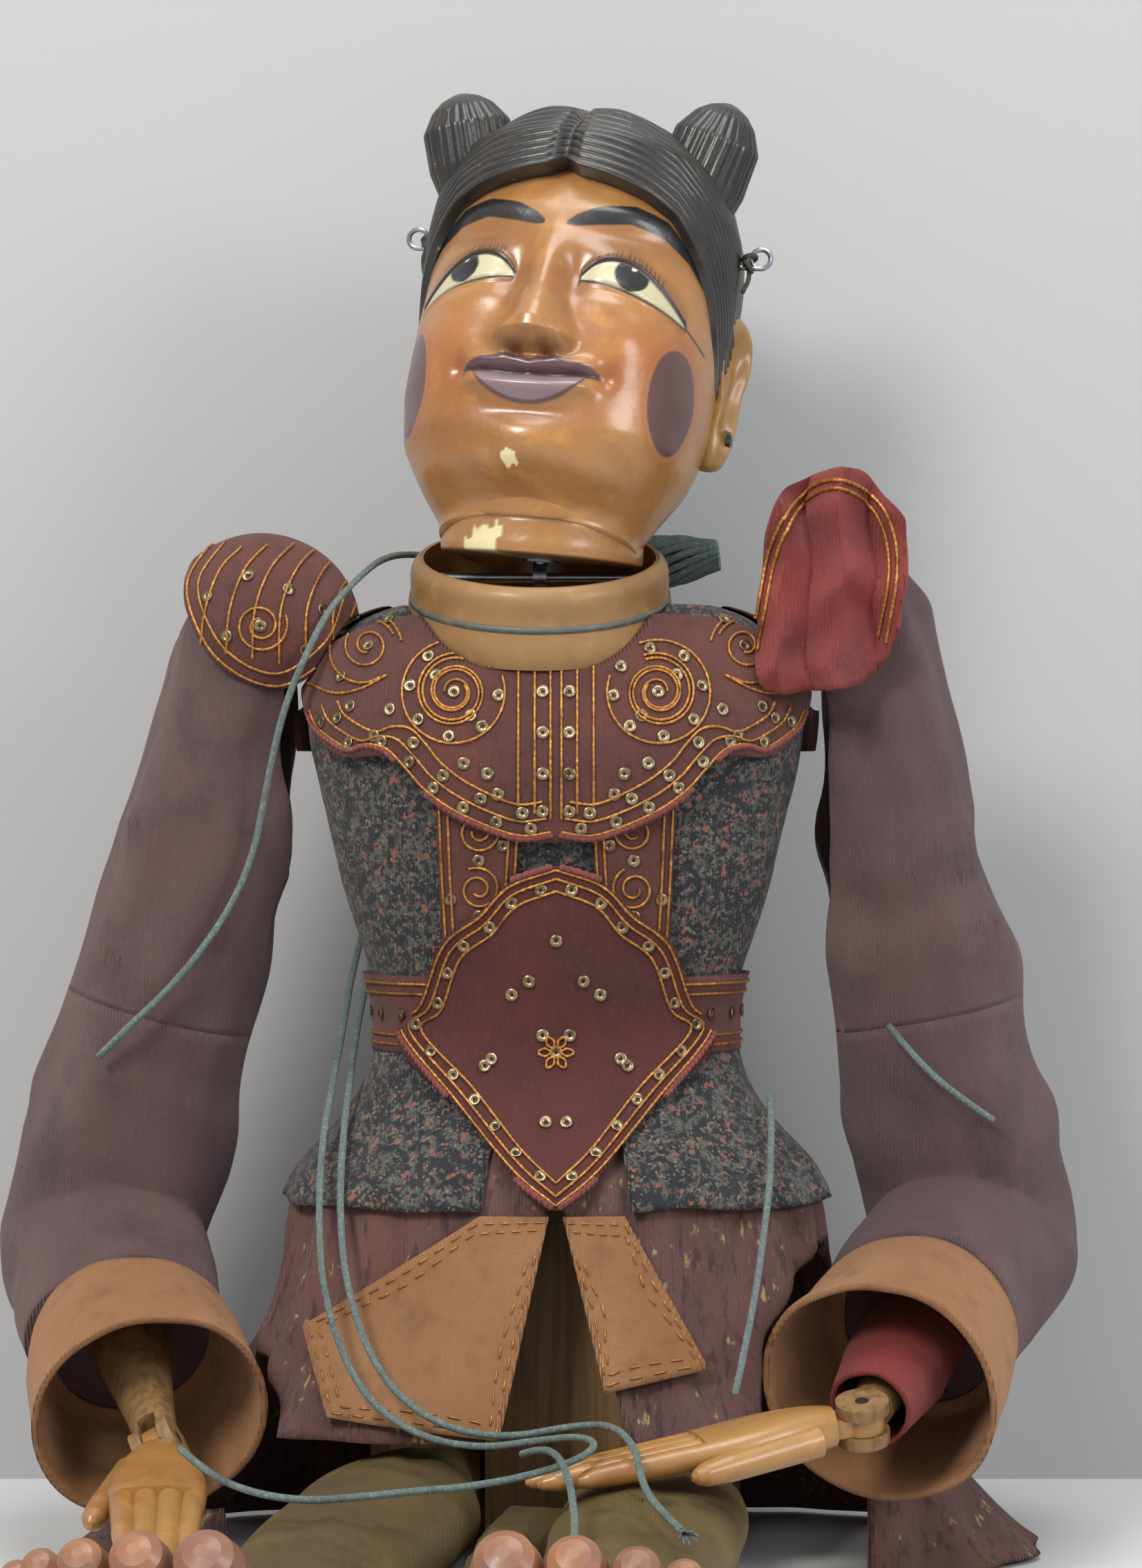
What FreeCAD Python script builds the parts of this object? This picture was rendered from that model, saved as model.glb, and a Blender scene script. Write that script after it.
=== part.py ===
import FreeCAD, Part
import math
import os

from FreeCAD import Matrix, Placement, Rotation
from FreeCAD import Vector as V

# A seated string marionette of carved and lacquered wood in cloth costume. Millimetres, +Z up.
# It faces -Y and sits on z = 0 with its legs forward. LEFT is its own left hand, on +X.
# The origin is the middle of the flat seat face under its trunk.

RIGHT, LEFT = -1, 1
SIDES = {"right": RIGHT, "left": LEFT}
X, Y, Z = V(1, 0, 0), V(0, 1, 0), V(0, 0, 1)

# ---------------------------------------------------------------- driving dimensions
NECK = V(-5, -12, 292)
HEAD_TURN = -12.0       # looks to its right
HEAD_LOLL = 5.0         # leans to its left
FACE_BACK = 18.0        # the face looks up by this much from the neck's line
SHOULDER = {RIGHT: V(-90, 4, 276), LEFT: V(90, 4, 276)}
ELBOW = {RIGHT: V(-140, 12, 90), LEFT: V(128, 12, 90)}
WRIST = {RIGHT: V(-112, -84, 42), LEFT: V(86, -98, 52)}
HAND_AIM = {RIGHT: V(0.08, -0.98, -0.14), LEFT: V(-0.95, -0.22, -0.13)}
HIP = {RIGHT: V(-36, -16, 22), LEFT: V(36, -16, 22)}
KNEE = {RIGHT: V(-58, -134, 18), LEFT: V(22, -136, 18)}
ANKLE = {RIGHT: V(-80, -252, 18.2), LEFT: V(8, -256, 18.2)}
FOOT_RISE = 40.0        # the toes point up by this much

CLOTH = 1.6             # thickness of every cloth solid
GAP = 0.4               # air between one layer and the next
PIN_R = 2.0             # limb pins
RUNNING = 0.05          # radial play of a limb on its pin
HINGE_R = {"elbow": 12.0, "wrist": 7.5, "knee": 10.5, "ankle": 8.0}
TONGUE = {"elbow": 6.0, "wrist": 5.0, "knee": 7.0, "ankle": 5.0}
SHOULDER_PIN_R = 3.0
CORD_R = 1.05           # braided cotton cord, 2.1 mm across

# The trunk's outline: height, half width, half depth, and the middle's place in Y.
TRUNK = [(0, 56, 38, 6), (30, 57, 40, 5), (85, 55, 37, 3), (150, 51.5, 32.5, 0), (195, 61.5, 36.5, -1),
         (232, 70.5, 40.5, -1), (262, 72, 35.5, 1), (276, 62, 29, 2), (284, 46, 24, 3)]
TRUNK_TOP = TRUNK[-1][0]
HIP_RIB = 21.0          # half width of the trunk's middle rib, between the thighs
HIP_ROOM = 32.0         # radius about the hip that the trunk leaves free for the thigh

# The outside of blouse and skirt, in the same terms. Every other layer is offset from it.
DRESS = [(0, 150, 70, -8), (22, 125, 66, -11), (50, 101, 62, -13), (88, 84, 54, -9), (122, 70, 45, -4),
         (150, 53.5, 34.5, 0), (172, 56, 36, 0), (195, 63.5, 38.5, -1), (232, 72.5, 42.5, -1),
         (262, 74, 37.5, 1), (276, 64.5, 31.5, 2), (284, 48, 26, 3)]
WAIST = 150
BELT_TOP = 173
PEPLUM_HEM = 106
LAP = 42                # the skirt's front hem, over the thighs
SLEEVE_INSIDE = 80.5    # the sleeves stay outside this distance from the middle


# ---------------------------------------------------------------- general forms
def oval(centre, half_width, half_depth, squareness=2.0, points=16):
    """A closed smooth wire in a level plane, from an ellipse (2) towards a rectangle (4)."""
    outline = []
    for i in range(points):
        a = 2 * math.pi * i / points
        c, s = math.cos(a), math.sin(a)
        outline.append(centre + V(half_width * math.copysign(abs(c) ** (2 / squareness), c),
                                  half_depth * math.copysign(abs(s) ** (2 / squareness), s), 0))
    curve = Part.BSplineCurve()
    curve.interpolate(outline, PeriodicFlag=True)
    return Part.Wire([curve.toShape()])


def stacked(sections, grow=0.0, squareness=2.3):
    """A smooth solid through level ovals (z, half width, half depth, y), grown sideways."""
    wires = [oval(V(0, y, z), w + grow, d + grow, squareness) for z, w, d, y in sections]
    return Part.makeLoft(wires, True, False)


def turned(start, end, profile, smooth=False):
    """A solid turned about the line from start to end; profile is (share of length, radius)."""
    axis = end - start
    points = [V(r, 0, t * axis.Length) for t, r in profile]
    if smooth:
        curve = Part.BSplineCurve()
        curve.interpolate(points)
        edges = [curve.toShape()]
    else:
        edges = [Part.makeLine(a, b) for a, b in zip(points, points[1:])]
    foot, top = V(0, 0, points[0].z), V(0, 0, points[-1].z)
    edges += [Part.makeLine(points[-1], top), Part.makeLine(top, foot), Part.makeLine(foot, points[0])]
    solid = Part.Face(Part.Wire(edges)).revolve(V(0, 0, 0), Z, 360)
    solid.Placement = Placement(start, Rotation(Z, axis))
    return solid


def rod(start, end, radius):
    axis = end - start
    return Part.makeCylinder(radius, axis.Length, start, axis)


def disc(centre, axis, radius, width):
    """A short cylinder with its middle at centre."""
    n = V(axis).normalize()
    return Part.makeCylinder(radius, width, centre - n * (width / 2), n)


def slab(centre, normal, along, thickness, length, depth):
    """A box of that thickness along normal, from centre outwards along `along`, depth either way."""
    n, a = V(normal).normalize(), V(along).normalize()
    side = n.cross(a)
    box = Part.makeBox(length, depth * 2, thickness, V(0, -depth, -thickness / 2))
    box.Placement = Placement(Matrix(a.x, side.x, n.x, centre.x, a.y, side.y, n.y, centre.y,
                                     a.z, side.z, n.z, centre.z, 0, 0, 0, 1))
    return box


def across_run(centre, along, side, half_width, half_height, squareness=2.2, points=12):
    """An oval across the direction along, its width on side."""
    up = side.cross(along)
    wire = oval(V(0, 0, 0), half_width, half_height, squareness, points)
    wire.Placement = Placement(Matrix(side.x, up.x, along.x, centre.x, side.y, up.y, along.y, centre.y,
                                      side.z, up.z, along.z, centre.z, 0, 0, 0, 1))
    return wire


def digit(root, tip, radius):
    """A finger or toe: nearly straight, with a rounded end."""
    profile = [(0, 1.1), (0.7, 0.97), (0.9, 0.8), (0.97, 0.52), (1.0, 0.2)]
    return turned(root, tip, [(t, radius * r) for t, r in profile])


def prism(outline, front_y, back_y):
    """The X-Z outline, a list of points, pushed from front_y to back_y."""
    points = [V(x, front_y, z) for x, z in outline]
    face = Part.Face(Part.makePolygon(points + points[:1]))
    return face.extrude(V(0, back_y - front_y, 0))


def smooth_prism(outline, front_y, back_y):
    """As prism, with a smooth closed outline through the points."""
    curve = Part.BSplineCurve()
    curve.interpolate([V(x, front_y, z) for x, z in outline], PeriodicFlag=True)
    return Part.Face(Part.Wire([curve.toShape()])).extrude(V(0, back_y - front_y, 0))


def cord_path(route):
    """Straight runs joined by tangent arcs, each as large as its two runs allow. Returns wire and length."""
    points = [V(*p) for p in route]
    edges, at, radii = [], points[0], []
    for before, corner, after in zip(points, points[1:], points[2:]):
        into, out = (corner - before), (after - corner)
        share = 0.45 * min(into.Length, out.Length)
        into.normalize()
        out.normalize()
        turn = into.getAngle(out)
        radius = share / math.tan(turn / 2)
        first, last = corner - into * share, corner + out * share
        inward = (out - into).normalize()
        middle = corner + inward * (radius / math.cos(turn / 2) - radius)
        edges.append(Part.makeLine(at, first))
        edges.append(Part.Arc(first, middle, last).toShape())
        radii.append(radius)
        at = last
    edges.append(Part.makeLine(at, points[-1]))
    return Part.Wire(edges), radii


def cord(name, route):
    """A round cord along its route. Prints its length, its tightest bend and how true its volume is."""
    path, radii = cord_path(route)
    start = path.Edges[0]
    direction = start.tangentAt(start.FirstParameter)
    ring = Part.Wire([Part.makeCircle(CORD_R, V(*route[0]), direction)])
    solid = path.makePipeShell([ring], True, False)
    share = solid.Volume / (math.pi * CORD_R ** 2 * path.Length)
    print(f"{name}: length {path.Length:.1f}, tightest {min(radii):.1f}, volume share {share:.4f}")
    return solid


# ---------------------------------------------------------------- limbs and their hinges
def hinge_axis(before, joint, after):
    """The direction that a limb bends about: square to both its runs."""
    return (joint - before).cross(after - joint).normalize()


ELBOW_AXIS = {s: hinge_axis(SHOULDER[s], ELBOW[s], WRIST[s]) for s in (RIGHT, LEFT)}
WRIST_AXIS = {s: hinge_axis(ELBOW[s], WRIST[s], WRIST[s] + HAND_AIM[s]) for s in (RIGHT, LEFT)}
LEG_AXIS = {s: (KNEE[s] - HIP[s]).cross(Z).normalize() for s in (RIGHT, LEFT)}


def forked(limb, joint, axis, outward, kind):
    """Gives the limb two ears round a slot at joint, bored for the pin."""
    radius, tongue = HINGE_R[kind], TONGUE[kind]
    width = 2 * radius * 0.82
    limb = limb.fuse(disc(joint, axis, radius, width))
    limb = limb.cut(slab(joint - V(outward).normalize() * (radius + 1), axis, outward, tongue + 0.6,
                         3 * radius, radius + 1))
    return limb.cut(disc(joint, axis, PIN_R, 4 * radius))


def tongued(limb, joint, axis, outward, kind):
    """Gives the limb a flat tongue round the pin, and cuts its own end clear of the ears."""
    radius, tongue = HINGE_R[kind], TONGUE[kind]
    limb = limb.cut(disc(joint, axis, radius + 0.6, 6 * radius))
    plate = disc(joint, axis, radius - 1.5, tongue)
    plate = plate.fuse(slab(joint, axis, outward, tongue, radius + 4, radius * 0.55))
    return limb.fuse(plate).cut(disc(joint, axis, PIN_R + RUNNING, 4 * radius))


def hinge_pin(joint, axis, kind):
    return disc(joint, axis, PIN_R, 2 * HINGE_R[kind] * 0.82)


def upper_arm(side):
    shoulder, elbow = SHOULDER[side], ELBOW[side]
    limb = turned(shoulder, elbow, [(0.04, 8), (0.2, 11.5), (0.5, 11), (0.8, 9), (0.95, 7)])
    limb = limb.fuse(disc(shoulder, X, 12, 17)).cut(disc(shoulder + X * side * 16, X, 7, 14))
    limb = limb.cut(disc(shoulder, X, SHOULDER_PIN_R + RUNNING, 60))
    return forked(limb, elbow, ELBOW_AXIS[side], elbow - shoulder, "elbow").removeSplitter()


def forearm(side):
    elbow, wrist = ELBOW[side], WRIST[side]
    limb = turned(elbow, wrist, [(0.10, 7), (0.3, 11), (0.6, 10.5), (0.85, 7), (0.97, 6)])
    limb = tongued(limb, elbow, ELBOW_AXIS[side], wrist - elbow, "elbow")
    return forked(limb, wrist, WRIST_AXIS[side], wrist - elbow, "wrist").removeSplitter()


def hand_frame(side):
    """Along the fingers, across the palm towards the thumb, and out of the back of the hand."""
    along = V(HAND_AIM[side]).normalize()
    across = along.cross(Z).normalize() * -side
    up = across.cross(along) * side
    return along, across, up * math.copysign(1, up.z)


PALM_END = 48
PALM = [(9, 6, 5.5), (18, 9.5, 6.5), (32, 13, 6), (PALM_END, 13, 4.5)]     # along, half width, half thickness
FINGERS = [(-10.2, 40, 3.2), (-3.6, 49, 3.5), (3.2, 47, 3.5), (9.6, 38, 3.3)]   # across, length, radius


def hand(side):
    """A flat palm, four slim fingers held together and a thumb along the side."""
    along, across, up = hand_frame(side)
    wrist = WRIST[side]

    def at(a, c, u):
        return wrist + along * a + across * c + up * u

    wires = [across_run(at(a, 0, 0), along, across, half_width, half_thick, 2.6)
             for a, half_width, half_thick in PALM]
    solid = Part.makeLoft(wires, True, False)
    for place, length, radius in FINGERS:
        solid = solid.fuse(digit(at(PALM_END - 4, place, 0), at(PALM_END + length, place * 0.8, -1.5), radius))
    solid = solid.fuse(digit(at(16, 8, -2), at(PALM_END + 7, 18, -4), 4.2))
    return tongued(solid, wrist, WRIST_AXIS[side], along, "wrist").removeSplitter()


def thigh(side):
    """A tapered thigh with a wide hub on the hip axle."""
    hip, knee = HIP[side], KNEE[side]
    limb = turned(hip, knee, [(0.02, 9), (0.2, 11.5), (0.4, 13), (0.7, 12), (0.97, 9)])
    limb = limb.fuse(disc(hip, X, 12, 27)).cut(disc(hip, X, SHOULDER_PIN_R + RUNNING, 60))
    return forked(limb, knee, LEG_AXIS[side], knee - hip, "knee").removeSplitter()


def shin(side):
    knee, ankle = KNEE[side], ANKLE[side]
    limb = turned(knee, ankle, [(0.10, 8), (0.3, 11.5), (0.55, 10.5), (0.85, 7.5), (0.97, 6.5)])
    limb = tongued(limb, knee, LEG_AXIS[side], ankle - knee, "knee")
    return forked(limb, ankle, LEG_AXIS[side], ankle - knee, "ankle").removeSplitter()


# Along the sole, half width, half thickness, the middle's place across it and over it.
FOOT_SECTIONS = [(-9, 5, 5, 0, -1.5), (-4, 10, 9, 0, -1.5), (8, 12.5, 12, 0, 0), (26, 17, 11, 2, -2),
                 (44, 26, 9, 6, -4), (54, 27, 7, 7, -5)]
# The place of each toe across the foot, its length and its radius.
TOES = [(-12, 20, 8.8), (4, 20, 7.8), (18, 17, 6.6), (28.5, 13, 5.4), (35.5, 8, 4.4)]
TOE_ROOT = 44


def foot_frame(side):
    """Along the sole to the toes, across it away from the other foot, and out of the instep."""
    forward = V(KNEE[side] - HIP[side])
    forward.z = 0
    forward.normalize()
    rise = math.radians(FOOT_RISE)
    along = forward * math.cos(rise) + Z * math.sin(rise)
    across = LEG_AXIS[side] * math.copysign(1, LEG_AXIS[side].x) * side
    return along, across, Z * math.cos(rise) - forward * math.sin(rise)


def foot(side):
    """Heel, instep and five rounded toes, with a tongue between the shin's ears."""
    along, across, instep = foot_frame(side)
    heel = ANKLE[side] + (ANKLE[side] - KNEE[side]).normalize() * 10

    def at(a, c, u):
        return heel + along * (a - 8) + across * c + instep * u

    side_way = instep.cross(along) * -1
    wires = [across_run(at(a, c, u), along, side_way, half_width, half_thick, 2.4)
             for a, half_width, half_thick, c, u in FOOT_SECTIONS]
    solid = Part.makeLoft(wires, True, False)
    for place, length, radius in TOES:
        solid = solid.fuse(digit(at(TOE_ROOT, place, -4), at(TOE_ROOT + 8 + length, place, -4), radius))
    return tongued(solid, ANKLE[side], LEG_AXIS[side], along, "ankle").removeSplitter()


# ---------------------------------------------------------------- trunk and neck
def trunk():
    """One carved block from seat to shoulders, cut away below on each side for the thighs."""
    solid = stacked(TRUNK).common(stacked(DRESS, -CLOTH - GAP))
    for side in SIDES.values():
        hip = HIP[side]
        room = disc(V(side * (HIP_RIB + 50), hip.y, hip.z), X, HIP_ROOM, 100)
        below = Part.makeBox(300, HIP_ROOM + 27, hip.z + 1, V(-150, hip.y - HIP_ROOM - 1, -1))
        ahead = Part.makeBox(300, HIP_ROOM + 1, 2 * HIP_ROOM, V(-150, hip.y - HIP_ROOM - 1, hip.z))
        behind = disc(V(side * (HIP_RIB + 50), hip.y, hip.z), X, 13, 100)
        solid = solid.cut(room.common(below.fuse(ahead)).fuse(behind))
        solid = solid.cut(disc(SHOULDER[side], X, SHOULDER_PIN_R, 90))
    socket = ring_form(wall=False)
    socket.Placement = RING_PLACE
    return solid.cut(socket).cut(disc(V(0, HIP[LEFT].y, HIP[LEFT].z), X, SHOULDER_PIN_R, 200)).removeSplitter()


def shoulder_pins():
    """A turned peg each side, with a head outside the arm."""
    pins = []
    for side in SIDES.values():
        s = SHOULDER[side]
        peg = rod(V(side * 46, s.y, s.z), V(side * 101, s.y, s.z), SHOULDER_PIN_R)
        pins.append(peg.fuse(rod(V(side * 99.3, s.y, s.z), V(side * 102, s.y, s.z), 5.5)))
    return Part.makeCompound(pins)


def hip_axle():
    """One turned axle through the rib and both thighs, with a head outside each."""
    middle = V(0, HIP[LEFT].y, HIP[LEFT].z)
    axle = disc(middle, X, SHOULDER_PIN_R, 102)
    for side in SIDES.values():
        axle = axle.fuse(disc(middle + X * side * 51.5, X, 5.5, 2))
    return axle


RING_HEIGHT = 24
RING_FORWARD = 18.0     # the ring's mouth tips forward
RING_PLACE = Placement(NECK + V(0, 4.5, -5), Rotation(X, RING_FORWARD))


def ring_form(grow=0.0, wall=True):
    """The flared ring that the neck drops into, in its own frame, its axis on Z."""
    half = RING_HEIGHT / 2
    rim = [V(36.2 + grow, 0, half), V(38.2 + grow, 0, half - 2), V(39 + grow, 0, 2), V(40.5 + grow, 0, -half + 5),
           V(40 + grow, 0, -half)]
    inner = [V(34.8, 0, -half), V(35, 0, half)] if wall else [V(0, 0, -half), V(0, 0, half)]
    outline = Part.BSplineCurve()
    outline.interpolate(rim)
    edges = [outline.toShape(), Part.makeLine(rim[-1], inner[0]), Part.makeLine(inner[0], inner[1]),
             Part.makeLine(inner[1], rim[0])]
    return Part.Face(Part.Wire(edges)).revolve(V(0, 0, 0), Z, 360)


def neck_ring():
    solid = ring_form()
    solid.Placement = RING_PLACE
    return solid.cut(disc(NECK, X, 1.5, 90)).removeSplitter()


def neck_cross_pin():
    return disc(NECK, X, 1.5, 74)


# The skull's own frame in the neck's: its front is -Y, and its chin is a little over its origin.
SKULL_PLACE = Placement(V(0, 0, 6), Rotation(X, -FACE_BACK))


def head_place():
    """Where the neck's own frame sits: its foot on the cross pin, its line on Z."""
    return Placement(NECK, Rotation(Y, HEAD_LOLL) * Rotation(Z, HEAD_TURN))


def face_place():
    """Where the skull's frame sits."""
    return head_place() * SKULL_PLACE


def neck_eye():
    """A wire eye on the cross pin, with a collar and a stem that the head turns on."""
    lean = Rotation(Y, HEAD_LOLL)
    eye = rod(V(0, 0, 3), V(0, 0, 31), 2.0).fuse(rod(V(0, 0, 4.6), V(0, 0, 7), 5.5))
    eye.Placement = Placement(NECK, lean)
    return eye.fuse(disc(NECK, X, 4.5, 4)).cut(disc(NECK, X, 1.5 + RUNNING, 20)).removeSplitter()


# ---------------------------------------------------------------- head, in its own frame: neck axis on Z
# Height over the chin, half width, and how far the section reaches in front and behind the neck's line.
SKULL = [(4, 30, -31, 18), (12, 36, -46, 20), (24, 43, -51, 26), (40, 46, -52.5, 36), (62, 46, -52.5, 44),
         (84, 45.5, -51, 46), (104, 43.5, -46, 45), (119, 37, -37, 38), (130, 22, -24, 22)]
NECK_COLUMN = [(5.4, 30.5), (12, 30.2), (23, 30.6), (37, 32)]
NECK_LEDGE = 21         # the skull's underside round the neck, clear of the ring at every turn


def skull():
    wires = []
    for z, half_width, front, back in SKULL:
        middle, half_depth = (front + back) / 2, (back - front) / 2
        wires.append(oval(V(0, middle, z), half_width, half_depth, 2.2))
    return Part.makeLoft(wires, True, False)


# Height over the chin, half width and reach of the nose, and of the two lips.
NOSE = [(82, 3.0, 51.5), (74, 3.4, 54), (64, 4.4, 57.5), (54, 7.2, 62), (48, 9.8, 63), (44, 8.4, 59)]
LIPS = [(42.5, 8, 53.4), (40, 16, 55.2), (37, 19.5, 55.4), (34, 15, 55.2), (31.5, 8, 53.4)]
FACE_CORE = 42          # the face's features are rooted this far in


def feature(sections):
    """A raised form on the face, through level ovals that all start inside the skull."""
    wires = []
    for z, half_width, reach in sections:
        half_depth = (reach - FACE_CORE) / 2
        wires.append(oval(V(0, -FACE_CORE - half_depth, z), half_width, half_depth, 2.0, 12))
    return Part.makeLoft(wires, True, False)


EAR = [(-1, 35), (5, 36), (8, 45), (9, 59), (12, 71), (11, 81), (4, 85), (-4, 81), (-6, 69), (-3, 55), (-4, 43)]
PLUG_HEIGHT = 45


def ear_place(side):
    return Placement(V(side * 43, 4, 0), Rotation(Z, side * 24))


def ear(side):
    """A long-lobed ear, carved as a slab that leans back from the cheek and is hollowed at its top."""
    curve = Part.BSplineCurve()
    curve.interpolate([V(0, y, z) for y, z in EAR], PeriodicFlag=True)
    form = Part.Face(Part.Wire([curve.toShape()])).extrude(V(side * 6.5, 0, 0))
    shell_hollow = Part.makeSphere(9, V(side * 12, 3.5, 71))
    form = form.cut(shell_hollow)
    form.Placement = ear_place(side)
    return form


def head():
    """Neck column, face and cap of hair in one carving, hollow round the wire eye."""
    solid = skull().fuse(feature(NOSE)).fuse(feature(LIPS)).fuse(hair_cap())
    for side in SIDES.values():
        solid = solid.fuse(ear(side))
    solid.Placement = SKULL_PLACE
    column = Part.makeLoft([oval(V(0, 0, z), r, r) for z, r in NECK_COLUMN], True, False)
    solid = solid.common(Part.makeBox(300, 300, 300, V(-150, -150, NECK_LEDGE))).fuse(column)
    solid = solid.cut(rod(V(0, 0, -1), V(0, 0, 10), 24)).cut(rod(V(0, 0, -1), V(0, 0, 34), 2 + RUNNING))
    solid.Placement = head_place()
    return solid.removeSplitter()


# The hair's sections, in the same terms as the skull's: low behind the ears, full over the brow.
HAIR = [(58, 46, 0, 47), (80, 48.5, -20, 49), (95, 48.5, -46, 49), (105, 47.5, -54, 48), (118, 43, -51, 44),
        (131, 31, -39, 34), (138.5, 15, -21, 17)]


def hair_cap():
    """The swept hair, thick over the brow and thin behind the ears."""
    wires = []
    for z, half_width, front, back in HAIR:
        middle, half_depth = (front + back) / 2, (back - front) / 2
        wires.append(oval(V(0, middle, z), half_width, half_depth, 2.2))
    return Part.makeLoft(wires, True, False)


BUN_FOOT = {RIGHT: V(-31, -20, 106), LEFT: V(30, -10, 108)}
BUN_TOP = {RIGHT: V(-41, -31, 137), LEFT: V(41, -20, 144)}


def hair_bun(side):
    """A rolled topknot, a short barrel that leans out from the crown."""
    profile = [(0.0, 12), (0.35, 14), (0.7, 13.5), (0.92, 9), (1.0, 4.5)]
    bun = turned(BUN_FOOT[side], BUN_TOP[side], profile, smooth=True)
    bun = bun.cut(hair_cap().fuse(skull()))
    bun.Placement = face_place()
    return bun.removeSplitter()


def ear_plugs():
    """A domed dark plug in each lobe."""
    plugs = []
    for side in SIDES.values():
        foot, top = V(side * 6.5, 2.2, PLUG_HEIGHT), V(side * 9.5, 2.2, PLUG_HEIGHT)
        plug = turned(foot, top, [(0, 4.2), (0.5, 3.8), (0.85, 2.4), (1.0, 0.8)])
        plug.Placement = ear_place(side) * plug.Placement
        plugs.append(plug)
    group = Part.makeCompound(plugs)
    group.Placement = face_place()
    return group


STRING_EYE = {s: V(s * 54, -4, 101) for s in (RIGHT, LEFT)}
STRING_EYE_R = 3.0
EYE_WIRE_R = 0.8
STEM_END = 46.0         # how far out from the head's middle the stem's tip is


def bent_eye(reach):
    """An eye bent from eight-sided wire: nearly a full ring round the origin, then a straight stem along -Y."""
    corners = [V(STRING_EYE_R + EYE_WIRE_R * math.cos(math.pi * i / 4), 0, EYE_WIRE_R * math.sin(math.pi * i / 4))
               for i in range(8)]
    face = Part.Face(Part.makePolygon(corners + corners[:1]))
    return face.revolve(V(0, 0, 0), Z, 330).fuse(face.extrude(Y * -reach))


def string_eyes():
    """A bent steel wire driven into each temple, closed in a ring for the head string."""
    eyes = []
    for side, centre in STRING_EYE.items():
        eye = bent_eye(abs(centre.x) - STEM_END)
        across = V(0, -side, -side * 0.2).normalize()
        eye.Placement = Placement(centre, Rotation((X * side).cross(across), X * side, across, "ZYX"))
        eyes.append(eye)
    group = Part.makeCompound(eyes)
    group.Placement = face_place()
    return group


# ---------------------------------------------------------------- costume on the trunk
def dress_layer(inner, thickness, low, high):
    """One layer of cloth round the body, between two heights, that far outside the blouse and skirt."""
    band = Part.makeBox(400, 300, high - low, V(-200, -150, low))
    return stacked(DRESS, inner + thickness).cut(stacked(DRESS, inner)).common(band)


def front_panel(outline, smooth=True):
    """What the outline, drawn on X-Z, cuts out of the front half."""
    return (smooth_prism if smooth else prism)(outline, -140, -6)


def arm_holes():
    """The room round each shoulder joint, and round its peg further in."""
    room = disc(V(0, SHOULDER[LEFT].y, SHOULDER[LEFT].z), X, SHOULDER_PIN_R + GAP, 240)
    for side in SIDES.values():
        room = room.fuse(disc(SHOULDER[side] + X * side * 12, X, 24, 60))
    return room


def neck_hole():
    hole = ring_form(grow=0.5, wall=False)
    hole.Placement = RING_PLACE
    return hole


def bodice():
    """The printed cotton blouse, from the belt to the neck."""
    solid = dress_layer(-CLOTH, CLOTH, WAIST, TRUNK_TOP)
    return solid.cut(arm_holes()).cut(neck_hole()).removeSplitter()


def peplum():
    """The blouse's flounce below the belt, open in front under the apron."""
    solid = dress_layer(GAP, CLOTH, PEPLUM_HEM, WAIST)
    return solid.cut(front_panel([(-14, 160), (-24, 90), (24, 90), (14, 160)], smooth=False))


def belt():
    return dress_layer(GAP, 2.0, WAIST, BELT_TOP)


COLLAR_OUTLINE = [(0, 213), (-18, 215), (-38, 226), (-50, 238), (-62, 238), (-72, 245), (-76, 262), (-60, 276),
                  (0, 279), (60, 276), (76, 262), (72, 245), (62, 238), (50, 238), (38, 226), (18, 215)]


def collar():
    """The embroidered yoke: two scalloped lobes in front, and a plain band over the back."""
    layer = dress_layer(2.4, 2.0, 200, TRUNK_TOP)
    keep = smooth_prism(COLLAR_OUTLINE, -140, 1).fuse(Part.makeBox(400, 150, 60, V(-200, 0, 240)))
    return layer.common(keep).cut(arm_holes()).cut(neck_hole()).removeSplitter()


def breast_strips():
    """Two short embroidered tabs that run from the collar down to the belt."""
    layer = dress_layer(GAP, CLOTH, BELT_TOP, 236)
    tabs = []
    for side in SIDES.values():
        outline = [(side * 9, 240), (side * 36, 240), (side * 33, 170), (side * 14, 170)]
        tabs.append(layer.common(front_panel(outline, smooth=False)))
    return Part.makeCompound(tabs)


APRON_OUTLINE = [(0, 206), (-14, 201), (-23, 192), (-34, 183), (-41, 165), (-47, 157), (-31, 137), (-13, 117),
                 (0, 107), (13, 117), (31, 137), (47, 157), (41, 165), (34, 183), (23, 192), (14, 201)]


def apron():
    """The pointed front panel over the belt, with a scalloped top edge."""
    return dress_layer(2.6, 2.0, 100, 210).common(front_panel(APRON_OUTLINE))


def skirt():
    """The gathered skirt: a bell from the belt to the ground, parted in front and raised over the lap."""
    solid = dress_layer(-CLOTH, CLOTH, 1, WAIST)
    parting = front_panel([(0, 114), (-22, LAP - 2), (22, LAP - 2)], smooth=False)
    lap = Part.makeBox(190, 134, LAP - 1, V(-98, -140, 0))
    solid = solid.cut(parting).cut(lap)
    for side in SIDES.values():
        run = WRIST[side] - ELBOW[side]
        solid = solid.cut(rod(ELBOW[side] + run * 0.05, WRIST[side] + run * 0.3, 37))
    return solid


FLAPS = [[(-2, 105), (-22, 105), (-74, 72), (-66, 48), (-16, 43)], [(2, 105), (20, 105), (44, 62), (14, 56)]]


def front_flaps():
    """Two stitched tan panels below the apron, laid over the skirt's front."""
    layer = dress_layer(GAP, CLOTH, 40, PEPLUM_HEM - 0.5)
    return Part.makeCompound([layer.common(front_panel(outline, smooth=False)) for outline in FLAPS])


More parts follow.
